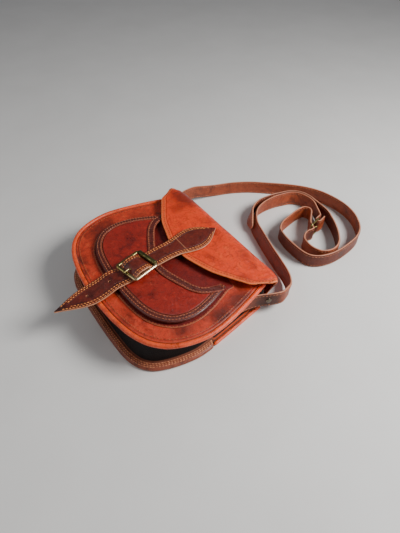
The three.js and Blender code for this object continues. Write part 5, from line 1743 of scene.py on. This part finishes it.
# %% Tan leathers
FLAP_STAINS = [((-82, 92, 58), 34, 0.8), ((-66, 66, 62), 14, 0.35), ((-20, 84, 60), 12, 0.3),
               ((92, 58, 62), 15, 0.35), ((60, 84, 60), 12, 0.3)]
FRONT_STAINS = [((-96, -40, 52), 24, 0.6), ((-108, -22, 52), 16, 0.5), ((-62, -86, 52), 15, 0.55),
                ((-90, 20, 52), 24, 0.4), ((108, 42, 52), 26, 0.8), ((112, 10, 52), 22, 0.75),
                ((102, -36, 52), 20, 0.65), ((-38, -92, 52), 12, 0.5), ((60, -84, 52), 15, 0.35)]
dress(leather("tan flap leather", (230, 64, 22), (94, 28, 17), (242, 96, 42), (246, 130, 68), rough=0.36,
              patch=34, darkness=0.65, lightness=0.5, edge_width=1.9, tooled=[(7.4, 0.9)],
              rim_band=(7.0, (244, 94, 36), 0.65), stains_and_shade=FLAP_STAINS, coat=0.2), "flap_leather")
dress(leather("tan panel leather", (198, 60, 32), (66, 23, 16), (224, 94, 52), (156, 66, 38), rough=0.38,
              patch=24, darkness=0.8, lightness=0.55, tooled=[(3.2, 0.7)], stains_and_shade=FRONT_STAINS,
              coat=0.2), "front_leather")
dress(leather("back panel leather", (156, 74, 42), (66, 28, 16), (186, 100, 60), (170, 88, 52),
              patch=40), "back_leather")
dress(leather("light rolled leather", (238, 80, 28), (134, 44, 20), (250, 124, 60), (238, 80, 28),
              rough=0.34, pebble=0.9, patch=16, darkness=0.7, lightness=0.6,
              coat=0.25), "front_piping", "back_piping_left", "back_piping_right")
print("tan leathers", len(bpy.data.materials))

# %% [markdown]
# The gusset and the pocket's wall are dry and creased, because they bend all the time. Both are painted
# nearly black: the gusset is brown leather, and its black is painted shade for the shadow under the front's
# overhang; the pocket's wall gets the same painted shade for the gap under the border. The gusset's foot
# keeps a lit brown along the back, and a narrow orange strip beside the rolled strips. That could be a
# sheet of its own, but on the bag it's the same sheet.

# %% Dark leathers
# Painted shade: the pocket's wall is near black for the shade in the gap under the border.
dress(leather("dark gusset leather", (30, 15, 10), (8, 4, 3), (48, 25, 16), (70, 38, 24), rough=0.75,
              patch=22, creases=1.0, depth=0.4, coat=0.0), "pocket_wall_leather")
# Painted shade: the gusset's near-black colours stand for the shadow under the front's overhang, and its
# foot keeps the lit brown.
dress(leather("gusset leather", (22, 10, 7), (7, 3, 2), (40, 20, 13), (80, 44, 28), rough=0.65, patch=18,
              creases=1.0, depth=0.4, coat=0.0,
              foot=(7.0, (130, 70, 48), 2.4, (222, 84, 34), 4.0)), "gusset_leather")
print("with dark leathers", len(bpy.data.materials))

# %% [markdown]
# The pocket is a glossy ox-blood red with a darker brown border. Its gloss is a coat over the leather, like
# the wax that is polished onto such a pocket. A lower roughness alone would take the grain away too.

# %% Pocket leathers
dress(leather("red pocket leather", (148, 34, 22), (58, 15, 13), (188, 56, 36), (112, 38, 26),
              rough=0.34, patch=26, darkness=0.7, lightness=0.55, coat=0.35), "pocket_front_leather")
dress(leather("inner pocket leather", (116, 24, 18), (36, 11, 10), (150, 40, 26), (176, 96, 60),
              rough=0.45, coat=0.15), "pocket_back_leather")
dress(leather("brown border leather", (88, 28, 19), (34, 12, 9), (124, 50, 34), (150, 72, 48), rough=0.3,
              pebble=0.9, patch=16, coat=0.4), "pocket_border_leather", "mouth_trim_leather")
dress(leather("brown binding leather", (146, 70, 46), (58, 24, 15), (192, 112, 80), (196, 116, 82),
              rough=0.4, pebble=1.3, patch=10, darkness=0.85, depth=0.4, coat=0.25), "binding_leather")
print("with pocket leathers", len(bpy.data.materials))

# %% [markdown]
# The closing strap is dark brown with a worn pale edge, and a seam crosses its leaf. The shoulder strap is
# a paler brown, darkened round the rivets by painted shade, for the shadow under the front's overhang where
# its ends lie. Its two sides differ a little, as two cuts of one hide do, so each has a finish of its own,
# and both are darker on their inner face.

# %% Strap leathers
LEAF_SEAM = leaf_y - 54          # where the seam crosses the leaf
# Painted shade round both rivets, where the shoulder strap's ends lie under the front's overhang.
TAB_SHADE = [((112, 82, 26), 34, 0.85), ((-112, 82, 26), 34, 0.85)]
dress(leather("closing strap leather", (104, 32, 20), (36, 12, 9), (144, 60, 36), (214, 146, 106),
              rough=0.36, patch=18, darkness=0.85, tooled=[(7.4, 0.6)], edge_width=0.9,
              seam_at=LEAF_SEAM, stains_and_shade=[((0, -140, 48), 30, 0.8)],
              coat=0.3), "closing_strap_leather", "closing_buckle_loop")
BAND_WEAR_AND_SHADE = dict(pebble=1.3, creases=0.9, darkness=0.8, edge_width=0.4, tooled=[(4.2, 0.5)],
                 stains_and_shade=TAB_SHADE, coat=0.1)
dress(leather("shoulder strap leather", (154, 70, 38), (70, 28, 15), (186, 102, 62), (206, 142, 110),
              patch=22, face=(158, 128, 112), **BAND_WEAR_AND_SHADE), "shoulder_strap_long_side")
dress(leather("buckle side leather", (156, 68, 36), (48, 20, 12), (190, 104, 64), (206, 142, 110),
              patch=20, face=(216, 176, 148), **BAND_WEAR_AND_SHADE), "shoulder_strap_short_side")
print("all leathers", len(bpy.data.materials))

# %% [markdown]
# ## Thread
#
# The bag is sewn with waxed linen, two strands twisted together. It was pale once, and has taken the colour
# of the dye round it, so each group of rows has its own. The twist could be modelled, but a stitch is half
# a millimetre thick and shows it only as fine slanting ribs, so a wave in the bump is enough.


# %% Thread finish
def waxed(name, colour, dark):
    """A waxed thread, with dirt in its darker places."""
    material, t, shader = new_finish(name)
    dirt = t.ramp(t.noise(320.0, 4.0), 0.4, 0.7)
    t.join(t.blend(dirt, linear(*colour), linear(*dark)), shader.inputs["Base Color"])
    twist = t.add("ShaderNodeTexWave", {"Vector": t.place(), "Scale": 420.0, "Distortion": 1.0},
                  wave_type="BANDS", bands_direction="DIAGONAL")
    t.join(t.bump(twist.outputs["Fac"], 0.5, 0.1), shader.inputs["Normal"])
    t.join(t.ramp(t.noise(500.0), 0.3, 0.7, 0.45, 0.7), shader.inputs["Roughness"])
    return material


dress(waxed("tan thread", (176, 84, 42), (96, 38, 20)),
      "front_stitches", "pocket_margin_stitches", "flap_stitches")
dress(waxed("brown thread", (190, 108, 70), (116, 56, 36)), "border_stitches", "mouth_trim_stitches")
dress(waxed("pale thread", (232, 156, 108), (170, 96, 62)), "binding_stitches")
dress(waxed("bright thread", (236, 148, 78), (180, 96, 48)), "closing_strap_stitches")
dress(waxed("strap thread", (196, 122, 80), (120, 62, 36)), "strap_stitches")
print("leathers and threads", len(bpy.data.materials))

# %% [markdown]
# ## Metal
#
# The buckles are cast brass that has gone green and brown, and one bar carries a painted highlight where
# the lamp lights it.
# The rivets are plain silvery domes. Brass could be one yellow metal, but old brass is known by its
# tarnish, so a broad dull film and small crusted pits lie over the bright metal, and roughen it.


# %% Metal finish
def metal(name, bright, dull, crust, rough=0.3, tarnish=0.6, painted_highlight=None):
    """An old metal. A painted highlight is a lighter spot where the lamp catches it: a place, its reach in
    millimetres and its tint.
    """
    material, t, shader = new_finish(name)
    broad = t.ramp(t.noise(220.0, 5.0, 0.65, distortion=0.5), 0.4, 0.68, 0.0, tarnish)
    pits = t.ramp(t.noise(1500.0, 4.0, 0.7), 0.55, 0.75, 0.0, tarnish)
    colour = t.blend(broad, linear(*bright), linear(*dull))
    colour = t.blend(pits, colour, linear(*crust))
    # The painted highlight: a lighter tint where the lamp catches a bar.
    if painted_highlight:
        place, reach, tint = painted_highlight
        spot = t.group(stain_shade_and_highlight_group, Place=[v * MM for v in place], Reach=reach).outputs[0]
        colour = t.blend(spot, colour, linear(*tint))
    t.join(colour, shader.inputs["Base Color"])
    pitted = t.math("MULTIPLY_ADD", pits, 0.3, rough)
    t.join(t.math("MULTIPLY_ADD", broad, 0.25, pitted), shader.inputs["Roughness"])
    t.join(t.math("MULTIPLY_ADD", pits, -0.5, 1.0), shader.inputs["Metallic"])
    t.join(t.bump(t.noise(900.0, 5.0, 0.7), 0.4, 0.15), shader.inputs["Normal"])
    return material


# A painted highlight on the closing buckle's side bar, where the lamp lights it.
lit_bar_place = in_buckle(BUCKLE_WIDTH / 2 - BROAD, 2.0, frame_z + BROAD)
brass = metal("aged brass", (158, 140, 86), (72, 70, 42), (34, 34, 22), rough=0.26, tarnish=0.85,
              painted_highlight=(lit_bar_place.tolist(), 26, (236, 208, 168)))
dress(brass, "closing_buckle_rim", "closing_buckle_tongue", "strap_buckle_ring", "strap_buckle_tongue")
dress(metal("green brass", (118, 112, 70), (60, 62, 38), (34, 36, 24), rough=0.34, tarnish=0.9),
      "closing_buckle_sleeve")
dress(metal("rivet steel", (112, 100, 86), (60, 50, 42), (30, 26, 22), rough=0.2, tarnish=0.6),
      "rivet_dome_right", "rivet_dome_left")
print("materials", len(bpy.data.materials))

# %% [markdown]
# ## Floor and light
#
# The bag lies on a plain pale table. A wide, soft lamp to its upper right gives the highlights on the
# rolled edges, and a weak one opposite keeps the shadows open. A bright sky alone would light it evenly,
# and the leather would lose its gloss, so the sky is dim and only fills.

# %% Stage
TABLE_HALF = 4.0
TABLE_DROP = 0.0004      # the table lies this far below the bag's lowest point
SKY = (0.9, 0.92, 1.0, 1)
SKY_STRENGTH = 0.17


def table():
    """A large square table under the bag."""
    half = TABLE_HALF
    mesh = bpy.data.meshes.new("table")
    mesh.from_pydata([(-half, -half, 0), (half, -half, 0), (half, half, 0), (-half, half, 0)], [],
                     [(0, 1, 2, 3)])
    made = placed("table", mesh)
    made.location.z = -TABLE_DROP
    material, t, shader = new_finish("pale table")
    clouds = t.blend(t.noise(9.0, 3.0), linear(226, 224, 220), linear(214, 212, 208))
    t.join(clouds, shader.inputs["Base Color"])
    t.join(t.ramp(t.noise(30.0), 0.3, 0.7, 0.75, 0.85), shader.inputs["Roughness"])
    mesh.materials.append(material)


def lamp(name, place, aim, size, power):
    """A soft lamp that is aimed at a place."""
    data = bpy.data.lights.new(name, "AREA")
    data.shape = "RECTANGLE"
    data.size, data.size_y = size
    data.energy = power
    made = placed(name, data)
    made.location = place
    made.rotation_mode = "QUATERNION"
    made.rotation_quaternion = (Vector(aim) - Vector(place)).to_track_quat("-Z", "Y")


table()
lamp("window", (0.58, 0.60, 0.74), (0, 0.02, 0.04), (0.40, 0.40), 17)
lamp("bounce", (-0.3, -0.9, 0.8), (0, 0, 0.03), (0.8, 0.8), 3.5)
world = bpy.data.worlds.new("studio")
world.use_nodes = True
world.node_tree.nodes["Background"].inputs["Color"].default_value = SKY
world.node_tree.nodes["Background"].inputs["Strength"].default_value = SKY_STRENGTH
bpy.context.scene.world = world

# %% [markdown]
# ## Size
#
# Rounding, waves and stitches all move the dressed bag's skin a little off the packed model's size.
